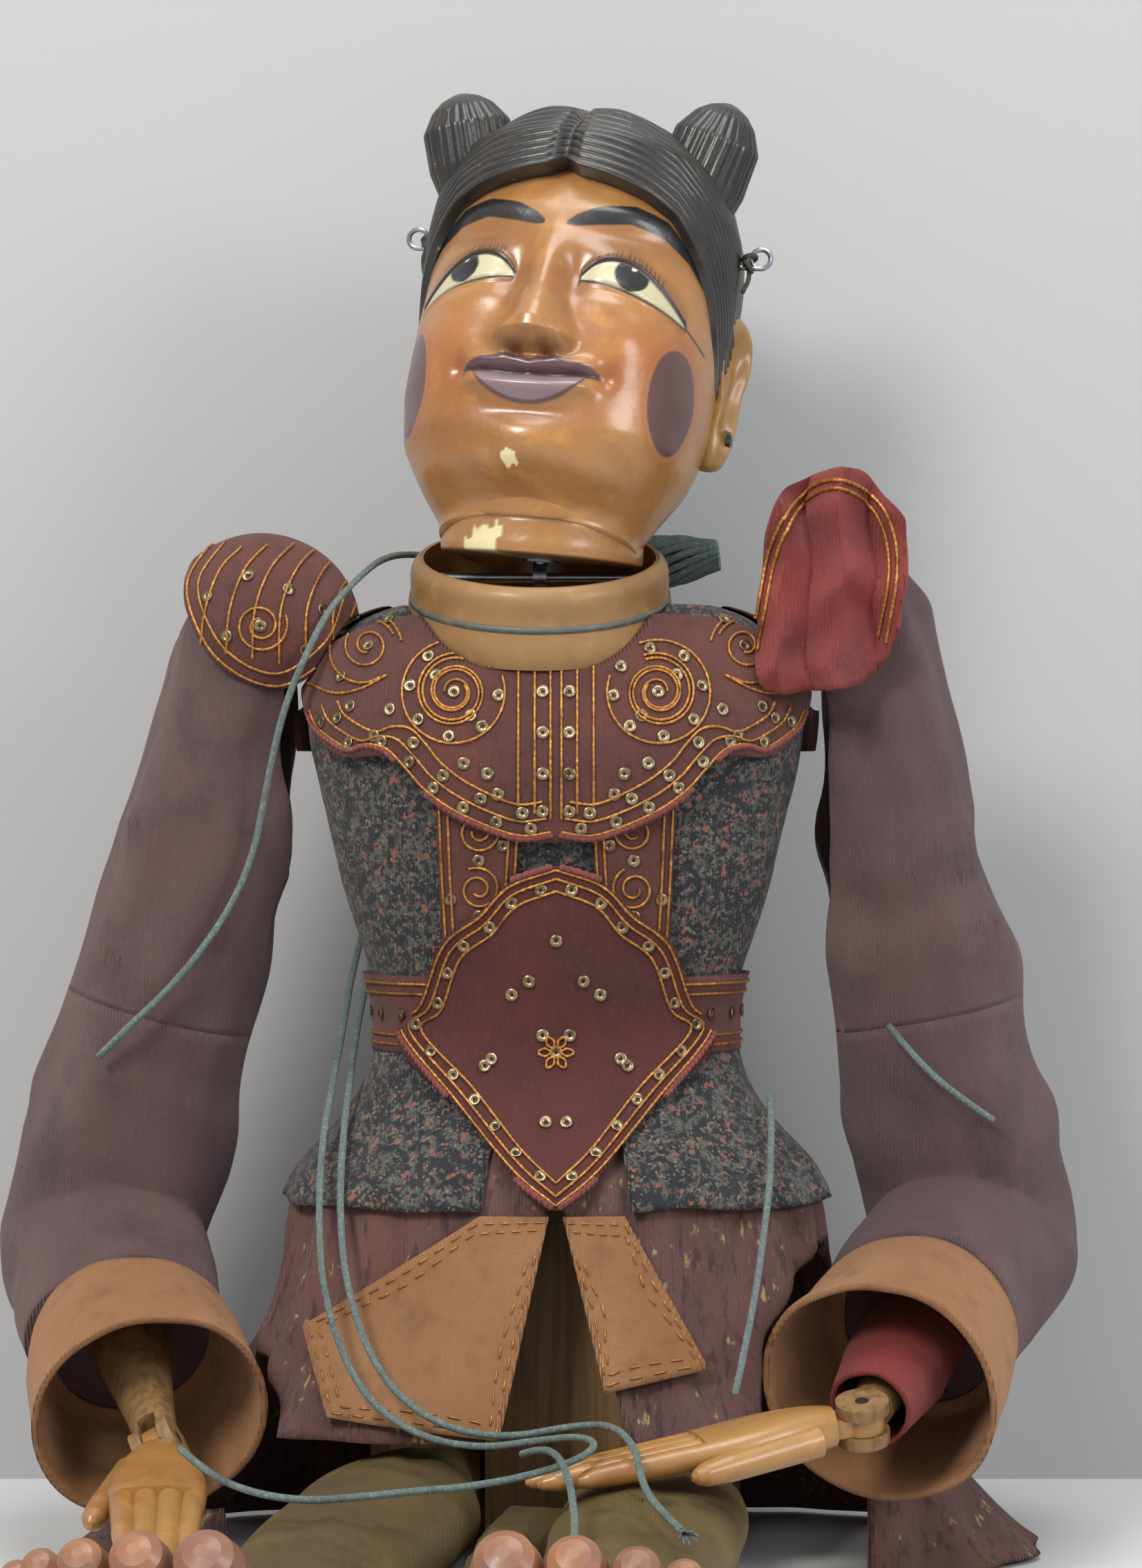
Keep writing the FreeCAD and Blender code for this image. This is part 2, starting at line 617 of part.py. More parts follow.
def epaulette_right():
    """A stiff embroidered leaf laid over the shoulder and down its front."""
    s = SHOULDER[RIGHT]
    shell = Part.makeSphere(30.4, s).cut(Part.makeSphere(27.4, s))
    outline = [(-64, 306), (-58, 292), (-64, 272), (-74, 262), (-84, 258), (-96, 262), (-106, 272), (-112, 290),
               (-102, 310), (-82, 318)]
    leaf = smooth_prism(outline, s.y - 60, s.y + 8)
    leaf = shell.common(leaf).cut(stacked(DRESS, 4.8)).cut(sleeve_form(RIGHT, GAP))
    return leaf.cut(disc(s, X, SHOULDER_PIN_R + GAP, 100))


EPAULETTE_FOLDS = [(58, -26), (66, -36), (75, -27), (84, -38), (94, -28), (102, -34)]


def epaulette_left():
    """The other leaf, crumpled and turned up in front of the shoulder so that its red lining shows."""
    front = [V(x, y, 254) for x, y in EPAULETTE_FOLDS]
    back = [p + V(0.4, CLOTH, 0) for p in reversed(front)]
    solid = Part.Face(Part.makePolygon(front + back + front[:1])).extrude(V(0, 0, 80))
    outline = [(56, 262), (62, 300), (70, 318), (82, 324), (96, 318), (104, 300), (100, 270), (84, 258), (70, 256)]
    return solid.common(smooth_prism(outline, -80, 0)).cut(stacked(DRESS, 4.8)).removeSplitter()


# ---------------------------------------------------------------- sleeves and cuffs
SLEEVE_TOP_R = 26.0
ELBOW_R = 33.0
SLEEVE_SEAM = 0.62      # share of the upper arm that the upper sleeve covers


def sleeve_form(side, grow=0.0):
    """The outside of the whole sleeve: a domed shoulder, a full elbow and a gathered forearm."""
    s, e, w = SHOULDER[side], ELBOW[side], WRIST[side]
    upper = turned(s, e, [(0.0, SLEEVE_TOP_R + grow), (0.25, 28 + grow), (0.6, 31 + grow), (0.85, 34 + grow),
                          (1.0, ELBOW_R + grow)])
    lower = turned(e, e + (w - e) * 0.5, [(0.0, ELBOW_R + grow), (0.5, 33 + grow), (1.0, 30 + grow)])
    form = upper.fuse(Part.makeSphere(SLEEVE_TOP_R + grow, s)).fuse(Part.makeSphere(ELBOW_R + grow, e))
    return form.fuse(lower)


def above_seam(side, share):
    """All the room on the shoulder's side of a plane across the upper arm."""
    s, e = SHOULDER[side], ELBOW[side]
    return rod(s + (e - s) * share, s - (e - s) * 0.5, 90)


def sleeve(side):
    """The upper sleeve, open towards the body, with its lower edge tacked to the arm inside."""
    s, e = SHOULDER[side], ELBOW[side]
    solid = sleeve_form(side).cut(sleeve_form(side, -CLOTH)).common(above_seam(side, SLEEVE_SEAM))
    lining = rod(s + (e - s) * (SLEEVE_SEAM - 0.01), s + (e - s) * SLEEVE_SEAM, 30)
    lining = lining.common(sleeve_form(side, -CLOTH / 2)).cut(upper_arm(side))
    inside = Part.makeBox(SLEEVE_INSIDE * 2, 200, 400, V(-SLEEVE_INSIDE, -100, 0))
    return solid.fuse(lining).cut(inside).removeSplitter()


def elbow_sleeve(side):
    """The full lower sleeve, from the seam round the elbow to the cuff."""
    e, w = ELBOW[side], WRIST[side]
    solid = sleeve_form(side).cut(sleeve_form(side, -CLOTH)).cut(above_seam(side, SLEEVE_SEAM))
    lining = rod(e + (w - e) * 0.485, e + (w - e) * 0.5, 29.5).cut(forearm(side))
    return solid.fuse(lining).removeSplitter()


def cuff(side):
    """The turned-back tan cuff, wider than the sleeve and open towards the hand."""
    e, w = ELBOW[side], WRIST[side]
    start, end = e + (w - e) * 0.5, e + (w - e) * 0.86
    outer = turned(start, end, [(0.0, 30), (0.4, 33), (1.0, 35)])
    inner = turned(start, end, [(0.04, 28.2), (0.4, 31.2), (1.04, 33.2)])
    flange_hole = rod(start - (w - e) * 0.1, end, 24)
    return outer.cut(inner).cut(flange_hole)


def under_cuff():
    """The close red cuff on the left forearm, drawn in at the wrist."""
    e, w = ELBOW[LEFT], WRIST[LEFT]
    start, end = e + (w - e) * 0.52, e + (w - e) * 0.94
    outer = turned(start, end, [(0, 15), (0.5, 15.5), (1, 12)])
    inner = turned(start, end, [(0.06, 13.4), (0.5, 13.9), (1.04, 10.4)])
    return outer.cut(inner).cut(forearm(LEFT)).removeSplitter()


# Distance down the leg from the hip, half width and half height.
TROUSERS = [(29, 19, 15.4), (60, 26, 16), (118, 26, 16), (165, 22, 15), (204, 17, 13.5)]


def trouser_leg(side):
    """A loose flattened leg from the groin to above the ankle, tacked to the shin at its hem."""
    hip, along = HIP[side], (ANKLE[side] - HIP[side]).normalize()
    sideways = Z.cross(along).normalize()

    def form(sections):
        wires = [across_run(hip + along * reach, along, sideways, half_width, half_height)
                 for reach, half_width, half_height in sections]
        return Part.makeLoft(wires, True, False)

    inner = [(reach, w - CLOTH, h - CLOTH) for reach, w, h in TROUSERS]
    first, last = inner[0], inner[-1]
    inner = [(first[0] - 3, first[1], first[2])] + inner[1:-1] + [(last[0] - CLOTH, last[1], last[2])]
    return form(TROUSERS).cut(form(inner)).cut(shin(side)).removeSplitter()


# ---------------------------------------------------------------- cords
ROUTES = {
    # from the hank behind the neck, over the right shoulder and into the right sleeve
    "arm_cord_right": [(-22, 41, 297), (-34, 31, 300), (-45, 18, 301), (-53, 4, 299), (-60, -9, 292), (-68, -22, 282),
                       (-74, -28, 269), (-80, -28, 255), (-84, -26, 240), (-87, -24, 225), (-90, -23, 210),
                       (-96, -24, 195), (-105, -26, 181), (-116, -28, 168), (-128, -28, 157), (-136, -27, 149)],
    # from the hank down the back, round the waist to the lap, through a loop there and on to the right cuff
    "hand_cord_right": [(-20, 48, 286.5), (-31, 53, 265), (-42, 52, 238), (-51, 46, 214), (-58, 36, 193),
                        (-63, 20, 173), (-65, 2, 155), (-67, -16, 141), (-69, -36, 125), (-69, -54, 105),
                        (-67, -66, 84), (-60, -74, 64), (-50, -83, 52), (-36, -94, 46), (-20, -103, 45),
                        (-5, -108, 48), (7, -113, 50), (12, -121, 49), (6, -130, 46), (-8, -132, 42),
                        (-24, -137, 40), (-38, -149, 41), (-52, -161, 41.5), (-67, -164, 41), (-82, -155, 42),
                        (-94, -142, 45), (-102, -128, 49)],
    # beside it from the hank to the lap, over the left hand's fingertips and out to a frayed end
    "waist_cord_inner": [(-14, 49, 286), (-26, 54, 264), (-36, 55, 237), (-46, 50, 212), (-54, 40, 190),
                         (-58.5, 24, 171), (-61, 5, 155), (-62, -14, 141), (-63, -34, 126), (-63, -52, 107),
                         (-60.5, -65, 86), (-53, -75, 66), (-42, -84, 54), (-28, -92, 48), (-12, -97, 47),
                         (4, -102, 51), (16, -111, 53), (22, -125, 49), (23, -141, 44), (25, -157, 41),
                         (29, -173, 39), (33, -188, 37.5)],
    # the end that hangs from the loops and drops between the toes
    "lap_cord": [(-9, -119, 46), (-4, -127, 49), (1, -138, 49), (4, -152, 44.5), (5, -168, 40.5), (5.5, -185, 38),
                 (5, -202, 37)],
    # from the waist, tight down to the left hand
    "arm_cord_left": [(64, -20, 137), (63.5, -42, 120), (60, -64, 100), (55.5, -86, 79), (50, -105, 60.5)],
    # a short stretch that shows between two holes in the left upper sleeve
    "sleeve_cord_left": [(99, -22, 158), (107, -27, 148), (118, -29, 138), (130, -25.5, 130)],
}

def rope_hank():
    """The strings' spare length, wound in a hank that lies behind the neck across the shoulders."""
    start, end = V(-26, 47, 292), V(52, 41, 302)
    return turned(start, end, [(0, 5), (0.06, 8), (0.3, 9), (0.5, 7.5), (0.75, 9.5), (0.94, 8), (1, 4.5)])


LAP_OUTLINE = [(-15, -36), (-22, -80), (-28, -138), (-4, -141), (-2, -100), (8, -40)]


def lap_cloth():
    """The trousers' seat, heaped between the two legs."""
    middle = V(-11, -88, 0)
    wires = []
    for height, share in [(0.4, 1.0), (12, 0.97), (20, 0.75), (24, 0.4)]:
        ring = [middle + (V(x, y, 0) - middle) * share + Z * height for x, y in LAP_OUTLINE]
        wires.append(Part.makePolygon(ring + ring[:1]))
    return Part.makeLoft(wires, True, True)


PIECES = {
    "trunk": trunk, "neck_ring": neck_ring, "neck_cross_pin": neck_cross_pin, "shoulder_pins": shoulder_pins,
    "hip_axle": hip_axle, "bodice": bodice, "peplum": peplum, "collar": collar, "breast_strips": breast_strips,
    "belt": belt, "apron": apron, "epaulette_right": epaulette_right, "epaulette_left": epaulette_left,
    "skirt": skirt, "front_flaps": front_flaps, "neck_eye": neck_eye, "head": head, "ear_plugs": ear_plugs,
    "string_eyes": string_eyes, "under_cuff_left": under_cuff, "rope_hank": rope_hank, "lap_cloth": lap_cloth,
}
SIDED = {
    "upper_arm": upper_arm, "forearm": forearm, "hand": hand, "sleeve": sleeve, "elbow_sleeve": elbow_sleeve,
    "cuff": cuff, "thigh": thigh, "shin": shin, "foot": foot, "trouser_leg": trouser_leg, "hair_bun": hair_bun,
}


def pieces():
    """Every node's name with the function that makes it."""
    made = dict(PIECES)
    for word, side in SIDES.items():
        for name, make in SIDED.items():
            made[f"{name}_{word}"] = lambda make=make, side=side: make(side)
        made[f"elbow_pin_{word}"] = lambda side=side: hinge_pin(ELBOW[side], ELBOW_AXIS[side], "elbow")
        made[f"wrist_pin_{word}"] = lambda side=side: hinge_pin(WRIST[side], WRIST_AXIS[side], "wrist")
        made[f"knee_pin_{word}"] = lambda side=side: hinge_pin(KNEE[side], LEG_AXIS[side], "knee")
        made[f"ankle_pin_{word}"] = lambda side=side: hinge_pin(ANKLE[side], LEG_AXIS[side], "ankle")
    for name, route in ROUTES.items():
        made[name] = lambda name=name, route=route: cord(name, route)
    return made


def main():
    os.makedirs("parts", exist_ok=True)
    for name, make in pieces().items():
        shape = make()
        shape.exportStep(f"parts/{name}.step")


if __name__ == "__main__":
    main()
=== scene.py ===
import math
import random

import bmesh
import bpy
import numpy as np
from mathutils import Matrix, Vector, noise
from mathutils.bvhtree import BVHTree


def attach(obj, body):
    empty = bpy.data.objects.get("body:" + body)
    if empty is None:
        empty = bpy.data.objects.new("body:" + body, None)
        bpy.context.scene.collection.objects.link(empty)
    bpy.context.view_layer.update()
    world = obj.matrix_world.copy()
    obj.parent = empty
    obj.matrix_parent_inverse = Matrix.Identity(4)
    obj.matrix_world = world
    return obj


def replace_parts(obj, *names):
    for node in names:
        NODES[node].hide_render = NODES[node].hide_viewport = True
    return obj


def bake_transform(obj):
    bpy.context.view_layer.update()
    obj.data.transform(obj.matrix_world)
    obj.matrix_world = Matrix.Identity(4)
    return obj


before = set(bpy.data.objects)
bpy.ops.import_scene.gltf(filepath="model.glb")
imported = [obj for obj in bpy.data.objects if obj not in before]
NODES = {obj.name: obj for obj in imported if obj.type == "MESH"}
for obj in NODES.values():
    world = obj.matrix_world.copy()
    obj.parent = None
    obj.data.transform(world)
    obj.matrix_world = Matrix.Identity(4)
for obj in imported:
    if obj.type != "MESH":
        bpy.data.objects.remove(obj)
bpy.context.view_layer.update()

# A seated string marionette. Points are written in millimetres in the CAD frame and become metres in make().
MM = 0.001
# The side of the puppet's own hands, as the sign of x.
SIDES = {"right": -1, "left": 1}
random.seed(7)


# ---------------------------------------------------------------- camera, light and stage
CAMERA_PLACE = (0.0044, -1.240, 0.230)
SENSOR, LENS = 36.0, 93.75
STAGE_REACH = 4
FLOOR_DROP = -0.0006
WALL_Y, WALL_FOOT = 0.115, -0.1
FLOOR_SHADE, WALL_SHADE = 0.60, 0.40
WORLD_COLOUR, WORLD_LIGHT = (0.95, 0.97, 1.0, 1), 0.55
# Each lamp: its place, what it aims at, its size in metres, its watts and its colour.
LAMPS = {"key": ((-0.7, -1.3, 1.25), (0, 0, 0.25), 0.5, 22, (1, 0.97, 0.92)),
         "fill": ((1.1, -1.1, 0.8), (0, 0, 0.2), 0.6, 9, (0.95, 0.98, 1)),
         "top": ((0.1, -0.4, 1.5), (0, 0, 0.2), 0.8, 10, (1, 1, 1))}


def set_camera():
    data = bpy.data.cameras.new("camera")
    data.sensor_width, data.lens = SENSOR, LENS
    data.clip_start, data.clip_end = 0.05, 20.0
    camera = bpy.data.objects.new("camera", data)
    camera.location = CAMERA_PLACE
    camera.rotation_euler = (math.pi / 2, 0, 0)
    bpy.context.collection.objects.link(camera)
    bpy.context.scene.camera = camera


def area_light(name, place, aim, size, power, colour):
    data = bpy.data.lights.new(name, "AREA")
    data.shape, data.size, data.energy, data.color = "DISK", size, power, colour
    light = bpy.data.objects.new(name, data)
    light.location = place
    light.rotation_euler = (Vector(aim) - Vector(place)).to_track_quat("-Z", "Y").to_euler()
    bpy.context.collection.objects.link(light)


def plain_material(name, shade):
    """A matt stage surface with a faint mottle."""
    material = bpy.data.materials.new(name)
    material.use_nodes = True
    tree = material.node_tree
    shader = tree.nodes["Principled BSDF"]
    mottle = tree.nodes.new("ShaderNodeTexNoise")
    mottle.inputs["Scale"].default_value = 4.0
    ramp = tree.nodes.new("ShaderNodeMapRange")
    ramp.inputs["To Min"].default_value = shade * 0.98
    ramp.inputs["To Max"].default_value = shade * 1.02
    tree.links.new(mottle.outputs["Fac"], ramp.inputs["Value"])
    tree.links.new(ramp.outputs["Result"], shader.inputs["Base Color"])
    shader.inputs["Roughness"].default_value = 0.9
    return material


def one_sided(made):
    """Clears the sheet's back, so that it doesn't hide the object from a camera behind it."""
    tree = made.node_tree
    shader, out = tree.nodes["Principled BSDF"], tree.nodes["Material Output"]
    side = tree.nodes.new("ShaderNodeNewGeometry")
    mix = tree.nodes.new("ShaderNodeMixShader")
    clear = tree.nodes.new("ShaderNodeBsdfTransparent")
    tree.links.new(side.outputs["Backfacing"], mix.inputs[0])
    tree.links.new(shader.outputs[0], mix.inputs[1])
    tree.links.new(clear.outputs[0], mix.inputs[2])
    tree.links.new(mix.outputs[0], out.inputs["Surface"])
    return made


def stage_sheet(name, corners, shade):
    mesh = bpy.data.meshes.new(name)
    mesh.from_pydata(corners, [], [(0, 1, 2, 3)])
    mesh.materials.append(one_sided(plain_material(name, shade)))
    sheet = bpy.data.objects.new(name, mesh)
    bpy.context.collection.objects.link(sheet)


def set_world():
    world = bpy.data.worlds.new("world")
    bpy.context.scene.world = world
    world.use_nodes = True
    background = world.node_tree.nodes["Background"]
    background.inputs["Color"].default_value = WORLD_COLOUR
    background.inputs["Strength"].default_value = WORLD_LIGHT


set_camera()
ENDS = (-STAGE_REACH, STAGE_REACH)
FLOOR = [(x, y, FLOOR_DROP) for x, y in ((ENDS[0], ENDS[0]), (ENDS[1], ENDS[0]), (ENDS[1], ENDS[1]),
                                         (ENDS[0], ENDS[1]))]
WALL = [(x, WALL_Y, z) for x, z in ((ENDS[0], WALL_FOOT), (ENDS[1], WALL_FOOT), (ENDS[1], ENDS[1]),
                                    (ENDS[0], ENDS[1]))]
stage_sheet("floor", FLOOR, FLOOR_SHADE)
stage_sheet("backdrop", WALL, WALL_SHADE)
set_world()
for lamp, facts in LAMPS.items():
    area_light(lamp, *facts)
bpy.context.scene.view_settings.view_transform = "Standard"


# ---------------------------------------------------------------- materials
def linear(colour):
    """A screen colour as the renderer's linear one."""
    return tuple(c / 12.92 if c <= 0.04045 else ((c + 0.055) / 1.055) ** 2.4 for c in colour) + (1.0,)


def texture(tree, coordinate, kind, scale, turn=0.0):
    """A procedural pattern's value. Scale is repeats to the metre, one number or one for each axis."""
    place = tree.nodes.new("ShaderNodeMapping")
    place.inputs["Scale"].default_value = scale if hasattr(scale, "__len__") else (scale,) * 3
    place.inputs["Rotation"].default_value = (turn, turn, turn)
    tree.links.new(coordinate, place.inputs["Vector"])
    if kind == "noise":
        node = tree.nodes.new("ShaderNodeTexNoise")
        node.inputs["Detail"].default_value = 4.0
        out = node.outputs["Fac"]
    elif kind == "wave":
        node = tree.nodes.new("ShaderNodeTexWave")
        node.inputs["Distortion"].default_value = 0.6
        out = node.outputs["Fac"]
    else:
        node = tree.nodes.new("ShaderNodeTexVoronoi")
        out = node.outputs["Distance"]
        if kind == "edge":
            node.feature = "DISTANCE_TO_EDGE"
        if kind == "tint":
            split = tree.nodes.new("ShaderNodeSeparateColor")
            tree.links.new(node.outputs["Color"], split.inputs["Color"])
            out = split.outputs["Red"]
    node.inputs["Scale"].default_value = 1.0
    tree.links.new(place.outputs["Vector"], node.inputs["Vector"])
    return out


def span(tree, value, low, high, top=1.0):
    """The value, taken from low..high to 0..top."""
    node = tree.nodes.new("ShaderNodeMapRange")
    node.interpolation_type = "SMOOTHSTEP"
    node.inputs["From Min"].default_value = low
    node.inputs["From Max"].default_value = high
    node.inputs["To Max"].default_value = top
    tree.links.new(value, node.inputs["Value"])
    return node.outputs["Result"]


def times(tree, a, b):
    node = tree.nodes.new("ShaderNodeMath")
    node.operation = "MULTIPLY"
    tree.links.new(a, node.inputs[0])
    tree.links.new(b, node.inputs[1])
    return node.outputs[0]


def mixed(tree, share, under, over):
    node = tree.nodes.new("ShaderNodeMix")
    node.data_type = "RGBA"
    tree.links.new(share, node.inputs["Factor"])
    for socket, value in ((node.inputs["A"], under), (node.inputs["B"], over)):
        if isinstance(value, bpy.types.NodeSocket):
            tree.links.new(value, socket)
        else:
            socket.default_value = value
    return node.outputs["Result"]


def material(name, base, layers, rough, relief, metal=0.0, coat=0.0, sheen=0.0, painted=False):
    """Base colour under layers of (kinds and scales to multiply, low, high, colour, amount), with relief
    (kind, scale, depth in mm). Painted ones also take the mesh's own paint, which on the face holds painted
    shade and light too."""
    made = bpy.data.materials.new(name)
    made.use_nodes = True
    tree = made.node_tree
    shader = tree.nodes["Principled BSDF"]
    coordinate = tree.nodes.new("ShaderNodeTexCoord").outputs["Object"]
    colour = linear(base)
    for patterns, low, high, tone, amount in layers:
        share = None
        for kind, scale in patterns:
            value = span(tree, texture(tree, coordinate, kind, scale), low, high, amount)
            share = value if share is None else times(tree, share, value)
        colour = mixed(tree, share, colour, linear(tone))
    if painted:
        paint = tree.nodes.new("ShaderNodeAttribute")
        paint.attribute_name = "paint"
        colour = mixed(tree, paint.outputs["Alpha"], colour, paint.outputs["Color"])
    if isinstance(colour, tuple):
        shader.inputs["Base Color"].default_value = colour
    else:
        tree.links.new(colour, shader.inputs["Base Color"])
    worn = tree.nodes.new("ShaderNodeMapRange")
    worn.inputs["To Min"].default_value, worn.inputs["To Max"].default_value = rough
    tree.links.new(texture(tree, coordinate, "noise", 90), worn.inputs["Value"])
    tree.links.new(worn.outputs["Result"], shader.inputs["Roughness"])
    shader.inputs["Metallic"].default_value = metal
    shader.inputs["Coat Weight"].default_value = coat
    shader.inputs["Coat Roughness"].default_value = 0.18
    shader.inputs["Sheen Weight"].default_value = sheen
    normal = None
    for kind, scale, depth in relief:
        bump = tree.nodes.new("ShaderNodeBump")
        bump.inputs["Distance"].default_value = depth * MM
        tree.links.new(texture(tree, coordinate, kind, scale), bump.inputs["Height"])
        if normal is not None:
            tree.links.new(normal, bump.inputs["Normal"])
        normal = bump.outputs["Normal"]
    if normal is not None:
        tree.links.new(normal, shader.inputs["Normal"])
    return made


def noisy(scale, low, high, tone, amount):
    """A layer of spots in one noise pattern."""
    return (("noise", scale),), low, high, tone, amount


CREAM = (0.86, 0.80, 0.62)
WEAVE = (("wave", (2200, 2200, 300), 0.12), ("wave", (300, 300, 2200), 0.12), ("noise", 700, 0.25))
SKIN_LAYERS = (
    noisy(28, 0.42, 0.70, (0.50, 0.29, 0.12), 0.55),
    noisy(110, 0.50, 0.75, (0.74, 0.53, 0.26), 0.45),
    noisy(900, 0.55, 0.80, (0.45, 0.26, 0.12), 0.25),
    ((("noise", 75), ("noise", 260)), 0.71, 0.74, CREAM, 1.0),
)
SKIN = material("lacquered_skin", (0.62, 0.44, 0.25), SKIN_LAYERS, (0.26, 0.42),
                (("noise", 60, 0.5), ("noise", 500, 0.10)), coat=0.35, painted=True)
SKIN_PLAIN = material("lacquered_limb", (0.62, 0.46, 0.26), SKIN_LAYERS, (0.28, 0.46),
                      (("noise", 60, 0.5), ("noise", 500, 0.10)), coat=0.3)
HAIR = material("hair_lacquer", (0.135, 0.125, 0.115), (
    noisy(60, 0.45, 0.75, (0.24, 0.22, 0.20), 0.6),
    noisy(420, 0.70, 0.74, (0.50, 0.44, 0.34), 0.8)), (0.30, 0.48), (("noise", 400, 0.15),), coat=0.2)
WOOD = material("bare_wood", (0.52, 0.40, 0.25), (
    noisy((400, 400, 22), 0.40, 0.70, (0.36, 0.26, 0.15), 0.7),),
    (0.5, 0.7), (("noise", (600, 600, 40), 0.2),))
DARK = material("dark_glass", (0.10, 0.07, 0.07), (noisy(160, 0.5, 0.8, (0.20, 0.12, 0.11), 0.6),),
                (0.10, 0.22), (("noise", 300, 0.05),), coat=0.5)
WIRE = material("steel_wire", (0.62, 0.65, 0.68), (noisy(500, 0.5, 0.8, (0.40, 0.38, 0.36), 0.6),),
                (0.22, 0.40), (("noise", 900, 0.05),), metal=1.0)
PRINT = material("floral_print", (0.11, 0.12, 0.15), (
    ((("tint", (520, 320, 520)), ("noise", 800)), 0.40, 0.54, (0.40, 0.40, 0.36), 0.85),
    ((("tint", (480, 480, 700)), ("noise", 950)), 0.54, 0.63, (0.58, 0.52, 0.46), 0.9),
    ((("tint", 400), ("noise", 460)), 0.56, 0.62, (0.62, 0.36, 0.30), 0.95)),
    (0.75, 0.9), WEAVE, sheen=0.1)
MAROON = material("embroidered_cloth", (0.37, 0.20, 0.18), (
    noisy(45, 0.42, 0.70, (0.46, 0.24, 0.19), 0.7),
    noisy(200, 0.50, 0.78, (0.27, 0.15, 0.14), 0.6),
    noisy((1500, 1500, 500), 0.55, 0.75, (0.47, 0.33, 0.29), 0.5)), (0.72, 0.9), WEAVE, sheen=0.08)
APRON_RED = material("dark_red_cloth", (0.36, 0.14, 0.13), (
    noisy(40, 0.42, 0.70, (0.28, 0.11, 0.12), 0.7),
    noisy((900, 900, 300), 0.55, 0.75, (0.46, 0.22, 0.19), 0.5)), (0.7, 0.9), WEAVE, sheen=0.08)
RED_EDGE = material("red_border", (0.55, 0.20, 0.15), (noisy(260, 0.45, 0.75, (0.40, 0.15, 0.12), 0.8),),
                    (0.6, 0.8), WEAVE, sheen=0.3)
GOLD = material("gold_cord", (0.60, 0.41, 0.20), (
    noisy(700, 0.45, 0.72, (0.86, 0.60, 0.26), 0.8),
    noisy(160, 0.52, 0.75, (0.36, 0.20, 0.12), 0.75)), (0.30, 0.5), (("noise", 2500, 0.12),), metal=0.55)
SEQUIN = material("tarnished_sequin", (0.58, 0.52, 0.40), (noisy(240, 0.45, 0.70, (0.28, 0.24, 0.18), 0.8),),
                  (0.2, 0.42), (("noise", 500, 0.08),), metal=0.85)
SLEEVE = material("mauve_cotton", (0.35, 0.25, 0.26), (
    noisy(14, 0.38, 0.70, (0.43, 0.32, 0.31), 0.7),
    noisy(42, 0.48, 0.75, (0.24, 0.17, 0.20), 0.6),
    noisy((900, 900, 240), 0.55, 0.75, (0.46, 0.36, 0.35), 0.35)), (0.72, 0.88), WEAVE, sheen=0.08)
IKAT = material("ikat_skirt", (0.42, 0.29, 0.28), (
    noisy((60, 60, 16), 0.42, 0.66, (0.50, 0.33, 0.28), 0.7),
    noisy((420, 420, 60), 0.52, 0.66, (0.27, 0.17, 0.19), 0.7),
    ((("noise", (500, 500, 160)), ("noise", 120)), 0.56, 0.64, (0.72, 0.64, 0.42), 0.95),
    ((("noise", (540, 540, 200)), ("noise", 90)), 0.60, 0.68, (0.42, 0.46, 0.32), 0.9)),
    (0.75, 0.9), WEAVE, sheen=0.05)
TAN = material("tan_cotton", (0.63, 0.44, 0.28), (
    noisy(22, 0.42, 0.70, (0.70, 0.52, 0.36), 0.6),
    noisy(90, 0.50, 0.78, (0.48, 0.31, 0.19), 0.6)), (0.75, 0.9), WEAVE, sheen=0.05)
LINING = material("red_lining", (0.55, 0.18, 0.16), (
    noisy(40, 0.42, 0.70, (0.40, 0.12, 0.12), 0.7),
    noisy((1200, 1200, 400), 0.52, 0.75, (0.66, 0.27, 0.23), 0.5)), (0.6, 0.8), WEAVE, sheen=0.08)
OLIVE = material("olive_silk", (0.38, 0.31, 0.15), (
    noisy(25, 0.40, 0.70, (0.48, 0.40, 0.21), 0.7),
    noisy(120, 0.52, 0.78, (0.25, 0.20, 0.10), 0.6)), (0.5, 0.7), WEAVE, sheen=0.04)
CORD = material("braided_cotton", (0.42, 0.48, 0.47), (
    noisy(900, 0.45, 0.72, (0.58, 0.63, 0.60), 0.7),
    noisy(70, 0.50, 0.75, (0.28, 0.33, 0.33), 0.6)), (0.8, 0.95),
    (("wave", (900, 900, 900), 0.25), ("noise", 2600, 0.15)))
DARK_THREAD = material("waxed_thread", (0.20, 0.21, 0.17), (noisy(900, 0.45, 0.75, (0.34, 0.33, 0.25), 0.7),),
                       (0.7, 0.9), (("noise", 2200, 0.2),))
LINE_PAINT = material("grey_blue_paint", (0.30, 0.33, 0.32), (
    noisy(300, 0.45, 0.7, (0.45, 0.38, 0.27), 0.7),), (0.4, 0.6), (("noise", 80, 0.3),))
RING_LACQUER = material("ring_lacquer", (0.56, 0.42, 0.25), (
    noisy(40, 0.42, 0.70, (0.46, 0.33, 0.19), 0.6),
    noisy(150, 0.52, 0.78, (0.64, 0.50, 0.31), 0.5),
    ((("noise", 70), ("noise", 240)), 0.70, 0.73, CREAM, 1.0)), (0.4, 0.6), (("noise", 80, 0.4),), coat=0.1)
FOOT_LACQUER = material("foot_lacquer", (0.50, 0.34, 0.27), (
    noisy(50, 0.42, 0.70, (0.62, 0.42, 0.25), 0.6),
    ((("noise", 90), ("noise", 260)), 0.60, 0.64, CREAM, 1.0)), (0.35, 0.55), (("noise", 70, 0.5),), coat=0.2)


# ---------------------------------------------------------------- mesh tools
def finish_mesh(name, mesh, surface, body, smooth=True):
    mesh.materials.clear()
    mesh.materials.append(surface)
    mesh.polygons.foreach_set("use_smooth", [smooth] * len(mesh.polygons))
    piece = bpy.data.objects.new(name, mesh)
    bpy.context.collection.objects.link(piece)
    if body:
        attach(piece, body)
    return piece


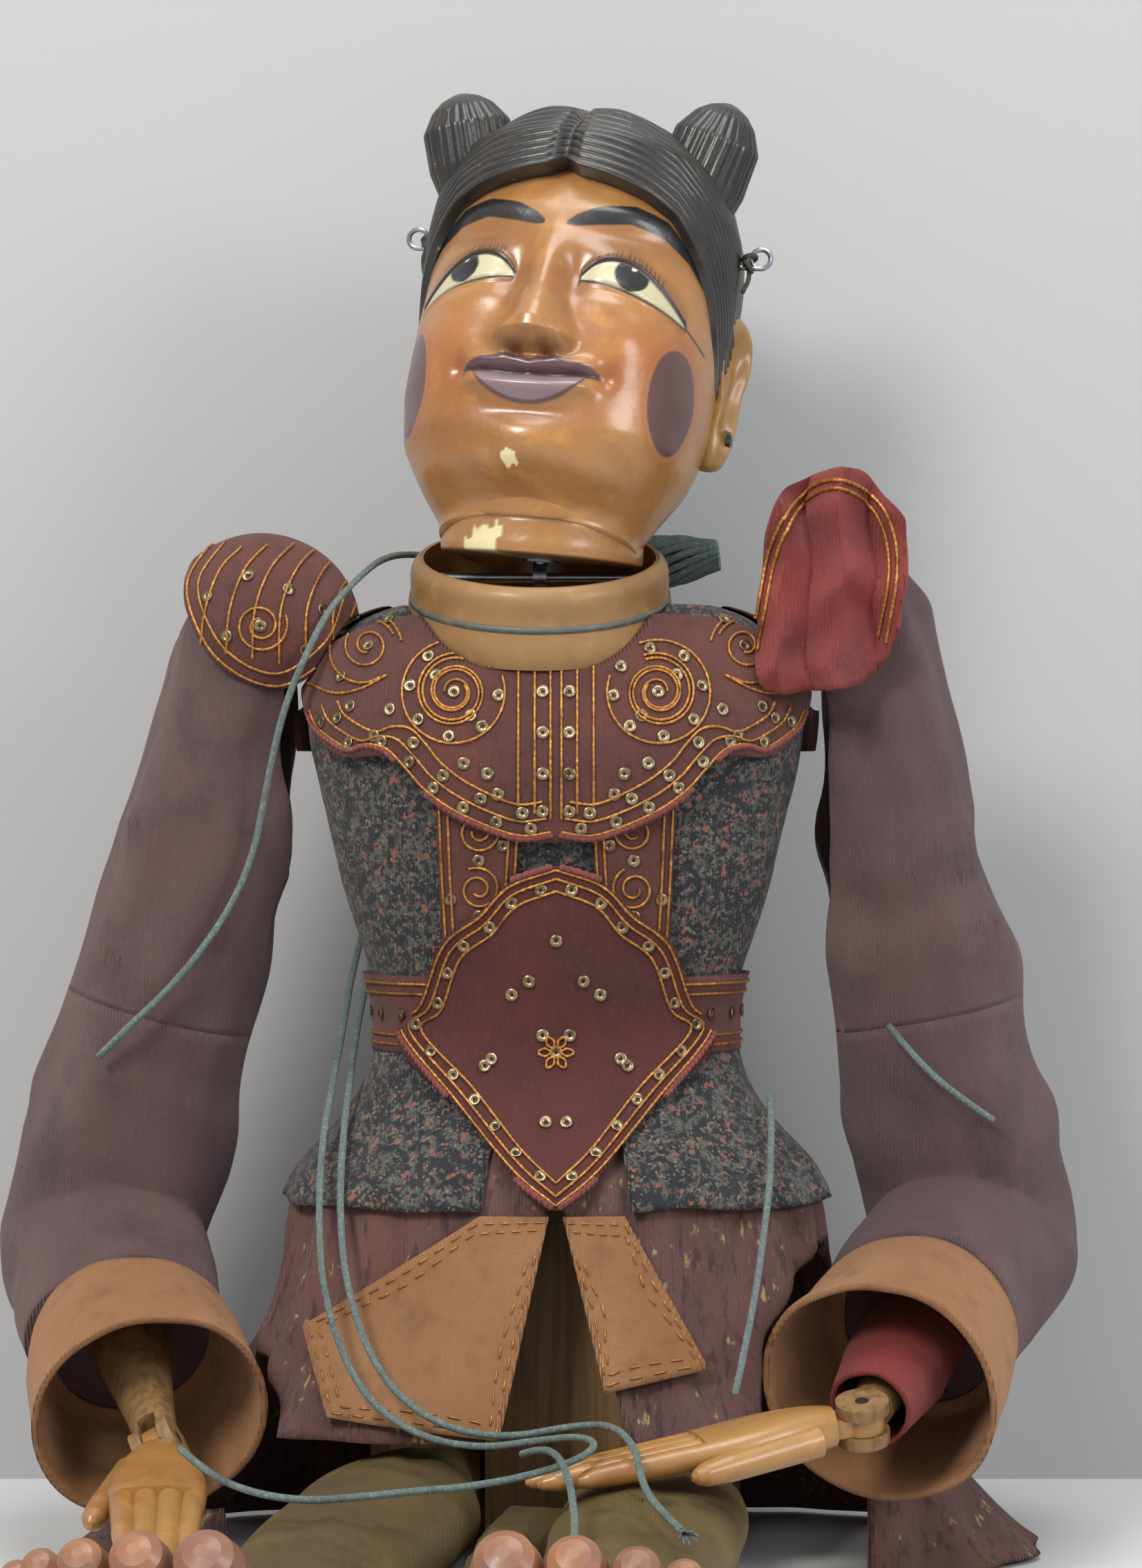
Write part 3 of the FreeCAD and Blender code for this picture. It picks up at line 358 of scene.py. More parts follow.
def make(name, shape, surface, body, place=None, smooth=True):
    """A piece from (points in mm, faces), put through place, that rides on body."""
    points, faces = shape
    points = np.asarray(points, float) * MM
    if place is not None:
        turn = np.array(place.to_3x3())
        points = points @ turn.T + np.array(place.translation)
    mesh = bpy.data.meshes.new(name)
    mesh.from_pydata(points.tolist(), [], faces)
    mesh.update()
    return finish_mesh(name, mesh, surface, body, smooth)


def merged(shapes):
    points, faces = [], []
    for p, f in shapes:
        base = len(points)
        points.extend(np.asarray(p, float).tolist())
        faces.extend([tuple(i + base for i in face) for face in f])
    return points, faces


def lattice(rows, columns, closed=True):
    """Faces of a rows x columns grid of points."""
    last = columns if closed else columns - 1
    return [(r * columns + c, r * columns + (c + 1) % columns, (r + 1) * columns + (c + 1) % columns,
             (r + 1) * columns + c) for r in range(rows - 1) for c in range(last)]


def cap(apex, first, count, end=False):
    """Faces from the point apex to the ring of count points that starts at first."""
    if end:
        return [(apex, first + i, first + (i + 1) % count) for i in range(count)]
    return [(apex, first + (i + 1) % count, first + i) for i in range(count)]


def curve_point(a, b, c, d, t):
    """The point at share t from b to c on the smooth curve past a, b, c and d."""
    return 0.5 * (2 * b + (c - a) * t + (2 * a - 5 * b + 4 * c - d) * t * t
                  + (3 * b - a - 3 * c + d) * t ** 3)


def smooth_line(points, step):
    """Points about step apart on a smooth curve through the ones given."""
    p = np.array(points, float)
    p = np.vstack([2 * p[0] - p[1], p, 2 * p[-1] - p[-2]])
    line = []
    for a, b, c, d in zip(p, p[1:], p[2:], p[3:]):
        count = max(2, int(np.linalg.norm(c - b) / step))
        line += [curve_point(a, b, c, d, t) for t in np.linspace(0, 1, count, endpoint=False)]
    return np.array(line + [p[-2]])


def tube(points, radius, sides=7):
    """A round-ended tube along points; radius is one number or one for each point."""
    p = np.array(points, float)
    radius = np.broadcast_to(np.asarray(radius, float), (len(p),))
    along = np.gradient(p, axis=0)
    along /= np.linalg.norm(along, axis=1)[:, None] + 1e-12
    side = np.cross(along[0], (0.3, 0.5, 0.81))
    rings = []
    for q, t, r in zip(p, along, radius):
        side = side - t * side.dot(t)
        side /= np.linalg.norm(side)
        up = np.cross(t, side)
        rings += [q + r * (side * math.cos(a) + up * math.sin(a))
                  for a in np.linspace(0, 2 * math.pi, sides, endpoint=False)]
    n = len(rings)
    rings += [p[0] - along[0] * radius[0] * 0.6, p[-1] + along[-1] * radius[-1] * 0.6]
    return rings, lattice(len(p), sides) + cap(n, 0, sides) + cap(n + 1, n - sides, sides, end=True)


def twisted(points, radius, pitch=1.6):
    """A tube with the knuckles of a twisted thread."""
    p = smooth_line(points, pitch / 3)
    beads = radius * (1 + 0.22 * np.sin(np.arange(len(p)) * 2.1))
    return tube(p, beads, 6)


def tree_of(*pieces):
    points, faces = [], []
    for piece in pieces:
        mesh = (NODES[piece] if isinstance(piece, str) else piece).data
        base = len(points)
        points += [v.co.copy() for v in mesh.vertices]
        faces += [tuple(base + i for i in f.vertices) for f in mesh.polygons]
    return BVHTree.FromPolygons(points, faces)


def facing(normal, look):
    """A surface's normal, on the side that is seen along look."""
    return -normal if normal.dot(look) > 0 else normal


def laid(tree, line, lift, look=(0, 1, 0), start=400.0):
    """A line seen along look, laid on the first surface that it meets: one or more runs of points in mm."""
    look = Vector(look).normalized()
    runs, run = [], []
    for q in line:
        origin = Vector(q if len(q) == 3 else (q[0], 0, q[1])) * MM - look * start * MM
        hit, normal, *_ = tree.ray_cast(origin, look)
        if hit is None or (run and (hit / MM - Vector(run[-1])).length > 6):
            if len(run) > 2:
                runs.append(run)
            run = []
        if hit is not None:
            run.append(tuple((hit + facing(normal, look) * lift * MM) / MM))
    if len(run) > 2:
        runs.append(run)
    return runs


# ---------------------------------------------------------------- cords
CORD_D = 0.0021
ROUTES = {
    "arm_cord_right": [(-22, 41, 297), (-34, 31, 300), (-45, 18, 301), (-53, 4, 299), (-60, -9, 292),
                       (-68, -22, 282), (-74, -28, 269), (-80, -28, 255), (-84, -26, 240), (-87, -24, 225),
                       (-90, -23, 210), (-96, -24, 195), (-105, -26, 181), (-116, -28, 168), (-128, -28, 157),
                       (-136, -27, 149)],
    "hand_cord_right": [(-20, 48, 286.5), (-31, 53, 265), (-42, 52, 238), (-51, 46, 214), (-58, 36, 193),
                        (-63, 20, 173), (-65, 2, 155), (-67, -16, 141), (-69, -36, 125), (-69, -54, 105),
                        (-67, -66, 84), (-60, -74, 64), (-50, -83, 52), (-36, -94, 46), (-20, -103, 45),
                        (-5, -108, 48), (7, -113, 50), (12, -121, 49), (6, -130, 46), (-8, -132, 42),
                        (-24, -137, 40), (-38, -149, 41), (-52, -161, 41.5), (-67, -164, 41), (-82, -155, 42),
                        (-94, -142, 45), (-102, -128, 49)],
    "waist_cord_inner": [(-14, 49, 286), (-26, 54, 264), (-36, 55, 237), (-46, 50, 212), (-54, 40, 190),
                         (-58.5, 24, 171), (-61, 5, 155), (-62, -14, 141), (-63, -34, 126), (-63, -52, 107),
                         (-60.5, -65, 86), (-53, -75, 66), (-42, -84, 54), (-28, -92, 48), (-12, -97, 47),
                         (4, -102, 51), (16, -111, 53), (22, -125, 49), (23, -141, 44), (25, -157, 41),
                         (29, -173, 39), (33, -188, 37.5)],
    "lap_cord": [(-9, -119, 46), (-4, -127, 49), (1, -138, 49), (4, -152, 44.5), (5, -168, 40.5),
                 (5.5, -185, 38), (5, -202, 37)],
    "arm_cord_left": [(64, -20, 137), (63.5, -42, 120), (60, -64, 100), (55.5, -86, 79), (50, -105, 60.5)],
    "sleeve_cord_left": [(99, -22, 158), (107, -27, 148), (118, -29, 138), (130, -25.5, 130)],
}
# Cords that run down an arm: bodies, and where the bend between them starts and ends. Only the names are read;
# these cords are left on no body.
BENDS = {"arm_cord_right": ("upper_arm_right", (-0.072, 0, 0.2), (-0.104, 0, 0.2)),
         "hand_cord_right": ("upper_arm_right", (-0.072, 0, 0.06), (-0.104, 0, 0.06)),
         "arm_cord_left": ("upper_arm_left", (0.064, -0.020, 0.137), (0.050, -0.105, 0.0605))}


def route_curve(piece, points, thick):
    """A cord's route as one open smooth curve, with or without its thickness."""
    data = bpy.data.curves.new(piece, "CURVE")
    data.dimensions = "3D"
    data.resolution_u = 16
    spline = data.splines.new("NURBS")
    spline.points.add(len(points) - 1)
    for point, place in zip(spline.points, points):
        point.co = (place[0] * MM, place[1] * MM, place[2] * MM, 1)
    spline.order_u = 3
    spline.use_endpoint_u = True
    if thick:
        data.bevel_depth = CORD_D / 2
        data.bevel_resolution = 3
        data.use_fill_caps = True
    curve = bpy.data.objects.new(piece, data)
    bpy.context.collection.objects.link(curve)
    return curve


def fine_run(points):
    """Points close together along a route's curve, in metres."""
    curve = route_curve("route", points, False)
    graph = bpy.context.evaluated_depsgraph_get()
    mesh = bpy.data.meshes.new_from_object(curve.evaluated_get(graph), depsgraph=graph)
    run = [tuple(v.co) for v in mesh.vertices]
    bpy.data.objects.remove(curve)
    bpy.data.meshes.remove(mesh)
    return run


def make_cords():
    for name, points in ROUTES.items():
        body = "upper_arm_left" if name == "sleeve_cord_left" else "torso"
        if name in BENDS:
            run = fine_run(points)
            piece = make(name + "_braid", tube(np.array(run) / MM, CORD_D / MM / 2, 8), CORD, None)
        else:
            piece = route_curve(name + "_braid", points, True)
            piece.data.materials.append(CORD)
            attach(piece, body)
        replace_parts(piece, name)
        if name == "waist_cord_inner":
            frayed_end(points)
        if name in BENDS:
            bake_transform(piece)


def frayed_end(points):
    """The loose strands that a cut end opens into."""
    tip = np.array(points[-1], float)
    aim = tip - np.array(points[-2])
    aim /= np.linalg.norm(aim)
    strands = []
    for i in range(9):
        spread = np.array([math.cos(i * 2.4), math.sin(i * 1.7) * 0.4, math.sin(i * 2.4) * 0.7]) * 1.1
        strands.append(tube(smooth_line([tip - aim * 2, tip + aim * 2 + spread * 0.6,
                                         tip + aim * (4.5 + i % 3) + spread * 2.2], 0.8), 0.32, 5))
    return make("frayed_cord_end", merged(strands), CORD, "torso")


def make_hank():
    """The spare string behind the neck, wound into a bundle of twisted turns."""
    start, end = np.array((-26, 47, 292.0)), np.array((52, 41, 302.0))
    axis = (end - start) / np.linalg.norm(end - start)
    side = np.cross(axis, (0, 0, 1.0))
    up = np.cross(side, axis)
    share = np.linspace(0.02, 0.98, 90)
    girth = np.interp(share, np.linspace(0, 1, 7), (5, 8, 9, 7.5, 9.5, 8, 4.5)) - 1.4
    strands = []
    for layer, count in ((1.0, 14), (0.62, 8), (0.25, 3)):
        for i in range(count):
            turn = 2 * math.pi * i / count + share * 3.4 * (1 if layer > 0.8 else -0.8)
            ring = layer * girth * (1 + 0.05 * np.sin(share * 21 + i * 1.9))
            line = start + np.outer(share, end - start) + np.outer(ring * np.cos(turn), side) \
                + np.outer(ring * np.sin(turn), up)
            strands.append(tube(line, 1.25, 7))
    tie = [start + (end - start) * 0.53 + (side * math.cos(a) + up * math.sin(a)) * 8.3 + axis * a * 0.25
           for a in np.linspace(0, 14, 90)]
    strands.append(tube(tie, 1.05, 7))
    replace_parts(make("rope_hank_strands", merged(strands), CORD, "torso"), "rope_hank")


make_cords()
make_hank()


# ---------------------------------------------------------------- head
def turned_about(axis, degrees):
    return Matrix.Rotation(math.radians(degrees), 4, axis)


def moved(x, y, z):
    return Matrix.Translation(Vector((x, y, z)) * MM)


NECK_FRAME = moved(-5, -12, 292) @ turned_about("Y", 5) @ turned_about("Z", -12)
SKULL_FRAME = NECK_FRAME @ moved(0, 0, 6) @ turned_about("X", -18)
# Levels of the skull and of the hair over it: height, half width, front and back.
SKULL = [(0, 30, -31, 18), (4, 30, -31, 18), (12, 36, -46, 20), (24, 43, -51, 26), (40, 46, -52.5, 36),
         (62, 46, -52.5, 44), (84, 45.5, -51, 46), (104, 43.5, -46, 45), (119, 37, -37, 38),
         (130, 22, -24, 22)]
HAIR_FORM = [(30, 45, -50, 40), (58, 46.5, -50, 46), (80, 48.3, -52, 49), (95, 48.5, -54, 49),
             (105, 47.5, -54, 48), (118, 43, -51, 44), (131, 31, -39, 34), (138.3, 14, -21, 17)]
SQUARENESS = 2.25


def bell(d, width):
    return np.exp(-(d / width) ** 2)


def edge(value, low, high):
    t = np.clip((value - low) / (high - low), 0, 1)
    return t * t * (3 - 2 * t)


def band(z, rise, full, fade, gone):
    """From 0 at rise to 1 at full, and from 1 at fade back to 0 at gone."""
    return edge(z, rise, full) * edge(-z, -gone, -fade)


def even(table, z, column):
    """A table's column at heights z, smoothly between its rows."""
    rows = np.array(table, float)
    fine = np.linspace(rows[0, 0], rows[-1, 0], 400)
    values = np.interp(fine, rows[:, 0], rows[:, column])
    soft = np.convolve(np.pad(values, 12, mode="edge"), np.hanning(25) / np.hanning(25).sum(), mode="valid")
    return np.interp(z, fine, soft)


def section(table, z, angle):
    """Points of a form at heights z and angles from the face's front, 0, round by its left, +90 degrees."""
    half = even(table, z, 1)
    front, back = even(table, z, 2), even(table, z, 3)
    middle, depth = (front + back) / 2, (back - front) / 2
    s, c = np.sin(angle), np.cos(angle)
    reach = (np.abs(s) ** SQUARENESS + np.abs(c) ** SQUARENESS) ** (-1 / SQUARENESS)
    return np.stack([half * s * reach, middle - depth * c * reach, z], axis=-1)


def eye_lines(x):
    """An eye's lower and upper lid heights at x, and how far x is from the inner corner, 0, to the outer, 1."""
    t = np.clip((np.abs(x) - 10.0) / 30.0, 0, 1)
    base = 69.3 - 6.3 * t ** 1.7
    arch = np.sin(math.pi * t ** 0.86) ** 0.85
    return base - 0.6 * arch, base + 8.2 * arch, t


def smile_line(x):
    """The height at x of the line between the lips."""
    return 36.9 + 1.7 * (x / 20) ** 2


def carve(x, z):
    """How far the face stands out from the skull's plain form at (x, z), in mm."""
    out = 3.0 * bell(np.abs(x) - 27, 12) * bell(z - 52, 10)
    out += 1.6 * bell(np.abs(x) - 24, 13) * bell(z - 62, 4.5)
    out -= 2.4 * bell(np.abs(x) - 20, 15) * bell(z - 85.5, 5)
    out -= 2.6 * bell(np.abs(x) - 9, 5) * bell(z - 71, 8)
    out += 1.0 * bell(np.abs(x) - 22, 16) * bell(z - 93, 4)
    low, high, t = eye_lines(x)
    inside = band(z, low - 0.4, low + 1.2, high - 1.2, high + 0.4) * (t > 0) * (t < 1)
    out += inside * 1.2 * np.sin(math.pi * t)
    lids = (t > 0.01) * (t < 0.99)
    out += 1.1 * bell(z - high - 1.2, 1.1) * lids + 0.7 * bell(z - low + 1.1, 0.9) * lids
    rise = np.interp(z, (40, 42.5, 44.5, 47.5, 51, 56, 64, 74, 86),
                     (0, 1.0, 7.5, 11.2, 11.4, 9.4, 5.6, 2.6, 0))
    wide = np.interp(z, (40, 44, 48, 54, 64, 74, 84), (8.0, 8.6, 9.2, 7.4, 5.2, 4.4, 5.5))
    out += rise * np.exp(-(np.abs(x) / wide) ** 2.4)
    out += 3.2 * bell(np.abs(x) - 8.6, 2.9) * bell(z - 46.5, 3.6)
    out -= 2.6 * bell(np.abs(x) - 4.6, 2.0) * bell(z - 43.0, 1.7)
    smile = smile_line(x)
    lips = edge(22.5 - np.abs(x), 0, 9)
    bow = 1.3 * bell(np.abs(x) - 5.6, 3.4) - 0.7 * bell(x, 2.2)
    out += lips * (2.9 * bell(z - smile - 2.6 - bow * 0.5, 2.7) + 3.3 * bell(z - smile + 4.1, 3.0))
    out -= lips * 1.5 * bell(z - smile, 0.9)
    out -= 1.5 * bell(np.abs(x) - 22, 2.6) * bell(z - 38.6, 3.2)
    out -= 1.0 * bell(x, 2.2) * bell(z - 44.2, 2.0)
    out -= 1.6 * bell(x, 14) * bell(z - 25.5, 3.2)
    out += 2.4 * bell(x, 12) * bell(z - 17, 6)
    return out


def layer(paint, share, colour):
    """Paint over what is there: share from 0 to 1 for each point."""
    share = share[..., None]
    alpha = paint[..., 3:]
    tone = np.array(linear(colour)[:3])
    total = share + alpha * (1 - share)
    paint[..., :3] = np.where(total > 0, (tone * share + paint[..., :3] * alpha * (1 - share))
                              / np.maximum(total, 1e-6), paint[..., :3])
    paint[..., 3:] = total


# A brow's line: distance from the middle, height and half thickness.
BROW = [(3.2, 87.4, 0.5), (6, 88.6, 1.7), (12, 91.0, 2.5), (22, 93.4, 2.7), (31, 92.0, 2.5), (38, 86.8, 1.7),
        (42, 80.5, 0.9), (44, 75.5, 0.3)]


def face_paint_and_shade(x, y, z):
    """The face's painted features, with painted shade in its hollows and creases and painted light on the lips:
    a colour and cover for each point.
    """
    paint = np.zeros(x.shape + (4,))
    front = (y < -6).astype(float)
    a = np.abs(x)
    # Painted shade: brown darkening in the eye sockets, the inner eye corners, round the nostrils and at the
    # mouth corners, where the carving dips.
    layer(paint, 0.55 * front * bell(a - 22, 17) * bell(z - 84, 6.5), (0.42, 0.25, 0.12))
    layer(paint, 0.55 * front * bell(a - 9.5, 4.5) * bell(z - 66, 14), (0.45, 0.26, 0.12))
    layer(paint, 0.60 * front * bell(a - 5, 5.5) * bell(z - 43.5, 3.0), (0.33, 0.18, 0.09))
    layer(paint, 0.50 * front * bell(a - 23, 4.0) * bell(z - 39, 6), (0.50, 0.24, 0.10))
    layer(paint, 0.40 * front * bell(a - 34, 13) * bell(z - 47, 14), (0.66, 0.33, 0.14))
    # Painted shade in the crease under the lower lip.
    layer(paint, 0.45 * front * bell(x, 18) * bell(z - 25, 3.2), (0.45, 0.26, 0.12))
    around = np.degrees(np.arctan2(a, -y))
    disc = np.sqrt(((around - 51) / 11.5) ** 2 + ((z - 39) / 16.2) ** 2)
    layer(paint, 0.35 * bell(disc - 1.12, 0.12), (0.55, 0.27, 0.12))
    layer(paint, edge(-disc, -1.03, -0.97), (0.34, 0.225, 0.225))
    low, high, t = eye_lines(x)
    ends = (t > 0) * (t < 1) * front
    # Painted shade in the crease above each upper lid.
    layer(paint, 0.5 * ends * bell(z - high - 3, 3.2), (0.36, 0.22, 0.12))
    layer(paint, 0.95 * ends * band(z, low - 1.6, low - 0.7, high + 1.3, high + 2.3), (0.13, 0.10, 0.09))
    layer(paint, ends * band(z, low - 0.1, low + 0.5, high - 0.6, high + 0.1), (0.72, 0.69, 0.56))
    for centre in (-26.0, 24.6):
        spot = np.hypot((x - centre), (z - 72.6) * 0.86)
        within = ends * band(z, low, low + 0.5, high - 0.5, high)
        layer(paint, within * edge(-spot, -4.9, -4.5), (0.10, 0.09, 0.09))
        glint = np.hypot(x - centre - 0.4, z - 74.8)
        layer(paint, within * edge(-glint, -0.9, -0.5), (0.88, 0.90, 0.92))
    lash = edge(np.sin(x * 5.2), 0.35, 0.8) * ends * (t > 0.12) * (t < 0.8)
    layer(paint, 0.8 * lash * band(z, high + 1.2, high + 1.8, high + 3.4, high + 5.4), (0.18, 0.12, 0.09))
    tail = edge(-np.abs(z - (63.2 - (a - 40) * 0.75)), -0.7, -0.25) * (a > 39.5) * (a < 44.5) * front
    layer(paint, tail, (0.15, 0.11, 0.10))
    rows = np.array(BROW)
    centre = np.interp(a, rows[:, 0], rows[:, 1])
    thick = np.interp(a, rows[:, 0], rows[:, 2]) * 1.2
    brow = edge(-np.abs(z - centre) + thick, -0.25, 0.25) * (a > 3.2) * (a < 44) * front
    layer(paint, brow, (0.13, 0.125, 0.12))
    smile = smile_line(x)
    width = np.clip(1 - (a / 20.5) ** 2, 0, 1)
    bow = 1.1 * bell(a - 6, 3.6) - 0.9 * bell(x, 2.4)
    top = smile + (4.4 + bow) * width ** 0.62
    bottom = smile - 8.0 * np.clip(1 - (a / 16.5) ** 2, 0, 1) ** 0.6
    mouth = front * (a < 20.5)
    # Dark lip outline, which widens under the lower lip into a painted shadow.
    layer(paint, mouth * band(z, bottom - 1.6, bottom - 0.6, top - 0.3, top + 0.3), (0.30, 0.19, 0.18))
    # Painted light on the lips: the lower lip is painted paler as a highlight where the light falls, and the
    # upper lip darker as painted shade.
    layer(paint, mouth * band(z, bottom - 0.3, bottom + 0.3, smile - 0.5, smile + 0.1) * (a < 16.5),
          (0.50, 0.41, 0.42))
    layer(paint, mouth * band(z, smile - 0.3, smile + 0.2, top - 0.3, top + 0.3), (0.34, 0.23, 0.245))
    layer(paint, mouth * edge(-np.abs(z - smile), -0.7, -0.3), (0.20, 0.12, 0.12))
    chip = np.hypot((x + 3.2) / 2.6, (z - 12.5) / 1.9) + 0.25 * np.sin(x * 2.1) * np.cos(z * 1.7)
    layer(paint, edge(-chip, -1.05, -0.95) * front, CREAM)
    return paint


def painted(piece, paint):
    """Gives a piece its paint, a colour and cover for each point, which SKIN shows; on the face it holds
    painted shade and light too.
    """
    colours = piece.data.color_attributes.new("paint", "FLOAT_COLOR", "POINT")
    colours.data.foreach_set("color", paint.ravel())
    return piece


def make_face():
    """The carved and painted head up to the hair, one skin from the jaw to the crown."""
    front = np.linspace(-1.75, 1.75, 330)
    back = np.linspace(1.75, 2 * math.pi - 1.75, 62)[1:-1]
    angle, z = np.meshgrid(np.concatenate([front, back]), np.concatenate(
        [np.linspace(1, 100, 250), np.linspace(101, 129, 24)]))
    p = section(SKULL, z, angle)
    x, y = p[..., 0].copy(), p[..., 1].copy()
    ahead = edge(np.cos(angle), -0.15, 0.35)
    out = carve(x, z) * ahead
    aim = np.stack([np.sin(angle) * 0.35, -np.ones_like(angle)], axis=-1)
    aim /= np.linalg.norm(aim, axis=-1)[..., None]
    p[..., 0] += aim[..., 0] * out
    p[..., 1] += aim[..., 1] * out
    paint = face_paint_and_shade(x, y, z)
    rows, columns = p.shape[:2]
    points = p.reshape(-1, 3).tolist()
    points += [(0, -4, 0.6), (0, 0, 130.5)]
    n = rows * columns
    faces = lattice(rows, columns) + cap(n, 0, columns) + cap(n + 1, n - columns, columns, end=True)
    face = make("face", (points, faces), SKIN, "head", SKULL_FRAME)
    return painted(face, np.vstack([paint.reshape(-1, 4), np.zeros((2, 4))]))


def make_neck():
    """The neck, which flares to a round lower edge, with the turned line above it."""
    profile = [(0, 5.2), (20, 5.3), (29.2, 5.5), (30.4, 6.4), (30.6, 8.4), (30.35, 11), (30.3, 15.2),
               (29.9, 15.9), (30.35, 16.6), (30.6, 22), (31.2, 30), (31.0, 37), (26, 42), (10, 44)]
    line = smooth_line([(r, 0, z) for r, z in profile], 0.8)
    angles = np.linspace(0, 2 * math.pi, 120, endpoint=False)
    points = [(q[0] * math.cos(a), q[0] * math.sin(a), q[2]) for q in line for a in angles]
    neck = make("neck", (points, lattice(len(line), 120)), SKIN, "head", NECK_FRAME)
    p = np.array(points)
    paint = np.zeros((len(p), 4))
    around = np.degrees(np.arctan2(p[:, 0], -p[:, 1]))
    for centre, height, wide, tall in ((-22, 8.6, 10, 4.6), (-33, 6.8, 6, 2.4), (-14, 11.5, 4, 3.0)):
        chip = np.hypot((around - centre) / wide, (p[:, 2] - height) / tall) + 0.2 * np.sin(around * 0.9)
        layer(paint, edge(-chip, -1.05, -0.95), CREAM)
    layer(paint, 0.5 * bell(p[:, 2] - 15.9, 0.9), (0.28, 0.18, 0.10))
    return painted(neck, paint)


def hairline(angle):
    """The hair's lower edge height at an angle from the front."""
    a = np.abs((angle + math.pi) % (2 * math.pi) - math.pi)
    table = [(0, 107.5), (0.10, 104.5), (0.30, 102.5), (0.55, 99.5), (0.75, 95.5), (0.95, 87.5), (1.15, 78),
             (1.35, 66), (1.55, 56), (1.75, 54), (2.2, 42), (3.15, 36)]
    return np.interp(a, [t[0] for t in table], [t[1] for t in table])


def make_hair():
    """The carved hair: combed grooves run back from the parting along the hairline's own line."""
    columns, rows = 420, 150
    angle = np.linspace(-math.pi, math.pi, columns, endpoint=False)[None, :].repeat(rows, 0)
    share = np.linspace(0, 1, rows)[:, None].repeat(columns, 1)
    low = hairline(angle)
    z = low + (138.2 - low) * share ** 1.15
    p = section(HAIR_FORM, z, angle)
    inner = section(SKULL, np.minimum(z, 129), angle)
    base = edge(share, 0, 0.018)
    p[..., :2] = inner[..., :2] * (1 - base)[..., None] + p[..., :2] * base[..., None]
    across = np.sin(angle) * 48
    lines = (z - low) / (2.75 + 0.7 * np.abs(np.sin(angle)))
    groove = np.abs(np.sin(lines * math.pi)) ** 0.6
    parting = bell(across, 2.6) * (np.cos(angle) > 0) * edge(share, 0.0, 0.1)
    swell = 1.5 * bell(np.abs(across) - 17, 11) * (np.cos(angle) > 0) * edge(share, 0.35, 0.9)
    depth = (groove - 1) * 0.75 * edge(share, 0.01, 0.05) - 2.8 * parting
    radius = np.linalg.norm(p[..., :2] - np.array([0, -2]), axis=-1)
    scale = 1 + depth / np.maximum(radius, 12)
    p[..., 0] *= scale
    p[..., 1] = (p[..., 1] + 2) * scale - 2
    p[..., 2] += (swell - 3.6 * parting) * edge(share, 0.5, 0.95)
    points = p.reshape(-1, 3).tolist()
    n = rows * columns
    points.append((0, -2, 138.6))
    faces = lattice(rows, columns) + cap(n, n - columns, columns, end=True)
    make("hair", (points, faces), HAIR, "head", SKULL_FRAME)


BUNS = {"right": ((-31, -20, 106), (-41, -31, 137)), "left": ((30, -10, 108), (41, -20, 144))}


def make_buns():
    """Two looped knots of hair, each a fan of grooves that runs over its top."""
    for side, (foot, top) in BUNS.items():
        foot, top = np.array(foot, float), np.array(top, float)
        axis = top - foot
        share = np.linspace(0, 1, 46)
        girth = np.interp(share, (0, 0.35, 0.7, 0.88, 0.96, 1.0), (11.6, 14, 13.6, 9.6, 6.0, 2.4))
        columns = 180
        around = np.linspace(0, 2 * math.pi, columns, endpoint=False)
        unit = axis / np.linalg.norm(axis)
        across = np.cross(unit, (0, 1, 0.0))
        across /= np.linalg.norm(across)
        ahead = np.cross(across, unit)
        points = []
        for t, g in zip(share, girth):
            ring = g * (1 - 0.055 * (1 - np.abs(np.sin(around * 13 + t * 1.6)) ** 0.7))
            centre = foot + axis * t
            points += [centre + r * (across * math.cos(a) + ahead * math.sin(a))
                       for a, r in zip(around, ring)]
        points.append(top + unit * 0.6)
        n = len(points) - 1
        faces = lattice(len(share), columns) + cap(n, n - columns, columns, end=True)
        bun = make(f"bun_{side}", (points, faces), HAIR, "head", SKULL_FRAME)
        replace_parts(bun, f"hair_bun_{side}")


# The ear's outline, seen from the side, and the levels from its root over the rim into its hollow.
EAR = [(-1, 35), (5, 36), (8, 45), (9, 59), (12, 71), (11, 81), (4, 85), (-4, 81), (-6, 69), (-3, 55),
       (-4, 43)]
EAR_LEVELS = [(1.0, -1.0), (1.04, 2.4), (1.0, 5.2), (0.9, 6.6), (0.78, 5.8), (0.66, 3.4), (0.5, 2.2),
              (0.38, 3.0), (0.2, 3.8), (0.02, 3.6)]


def make_ears():
    """Long ears with a rolled rim, a hollow and a thick pierced lobe."""
    ring = np.array(EAR, float)
    closed = np.vstack([ring[-1:], ring, ring[:2]])
    rim = []
    for a, b, c, d in zip(closed, closed[1:], closed[2:], closed[3:]):
        rim += [curve_point(a, b, c, d, t) for t in np.linspace(0, 1, 9, endpoint=False)]
    rim = np.array(rim)
    middle = np.array([2.5, 60.0])
    for side, sign in SIDES.items():
        points = []
        for share, rise in EAR_LEVELS:
            for q in rim:
                w = middle + (q - middle) * share
                w[0] = middle[0] + (q[0] - middle[0]) * share
                lobe = edge(np.array(50 - w[1]), 0, 8)
                out = rise * (1 - lobe) + min(rise, 5.6) * lobe + 1.8 * lobe * (share < 0.8)
                points.append((sign * out, w[0], w[1]))
        place = SKULL_FRAME @ moved(sign * 43, 4, 0) @ turned_about("Z", -sign * 20)
        faces = lattice(len(EAR_LEVELS), len(rim))
        if sign < 0:
            faces = [tuple(reversed(f)) for f in faces]
        ear = make(f"ear_{side}", (points, faces), SKIN_PLAIN, "head", place)
        thick = ear.modifiers.new("soft", "SUBSURF")
        thick.levels = thick.render_levels = 1


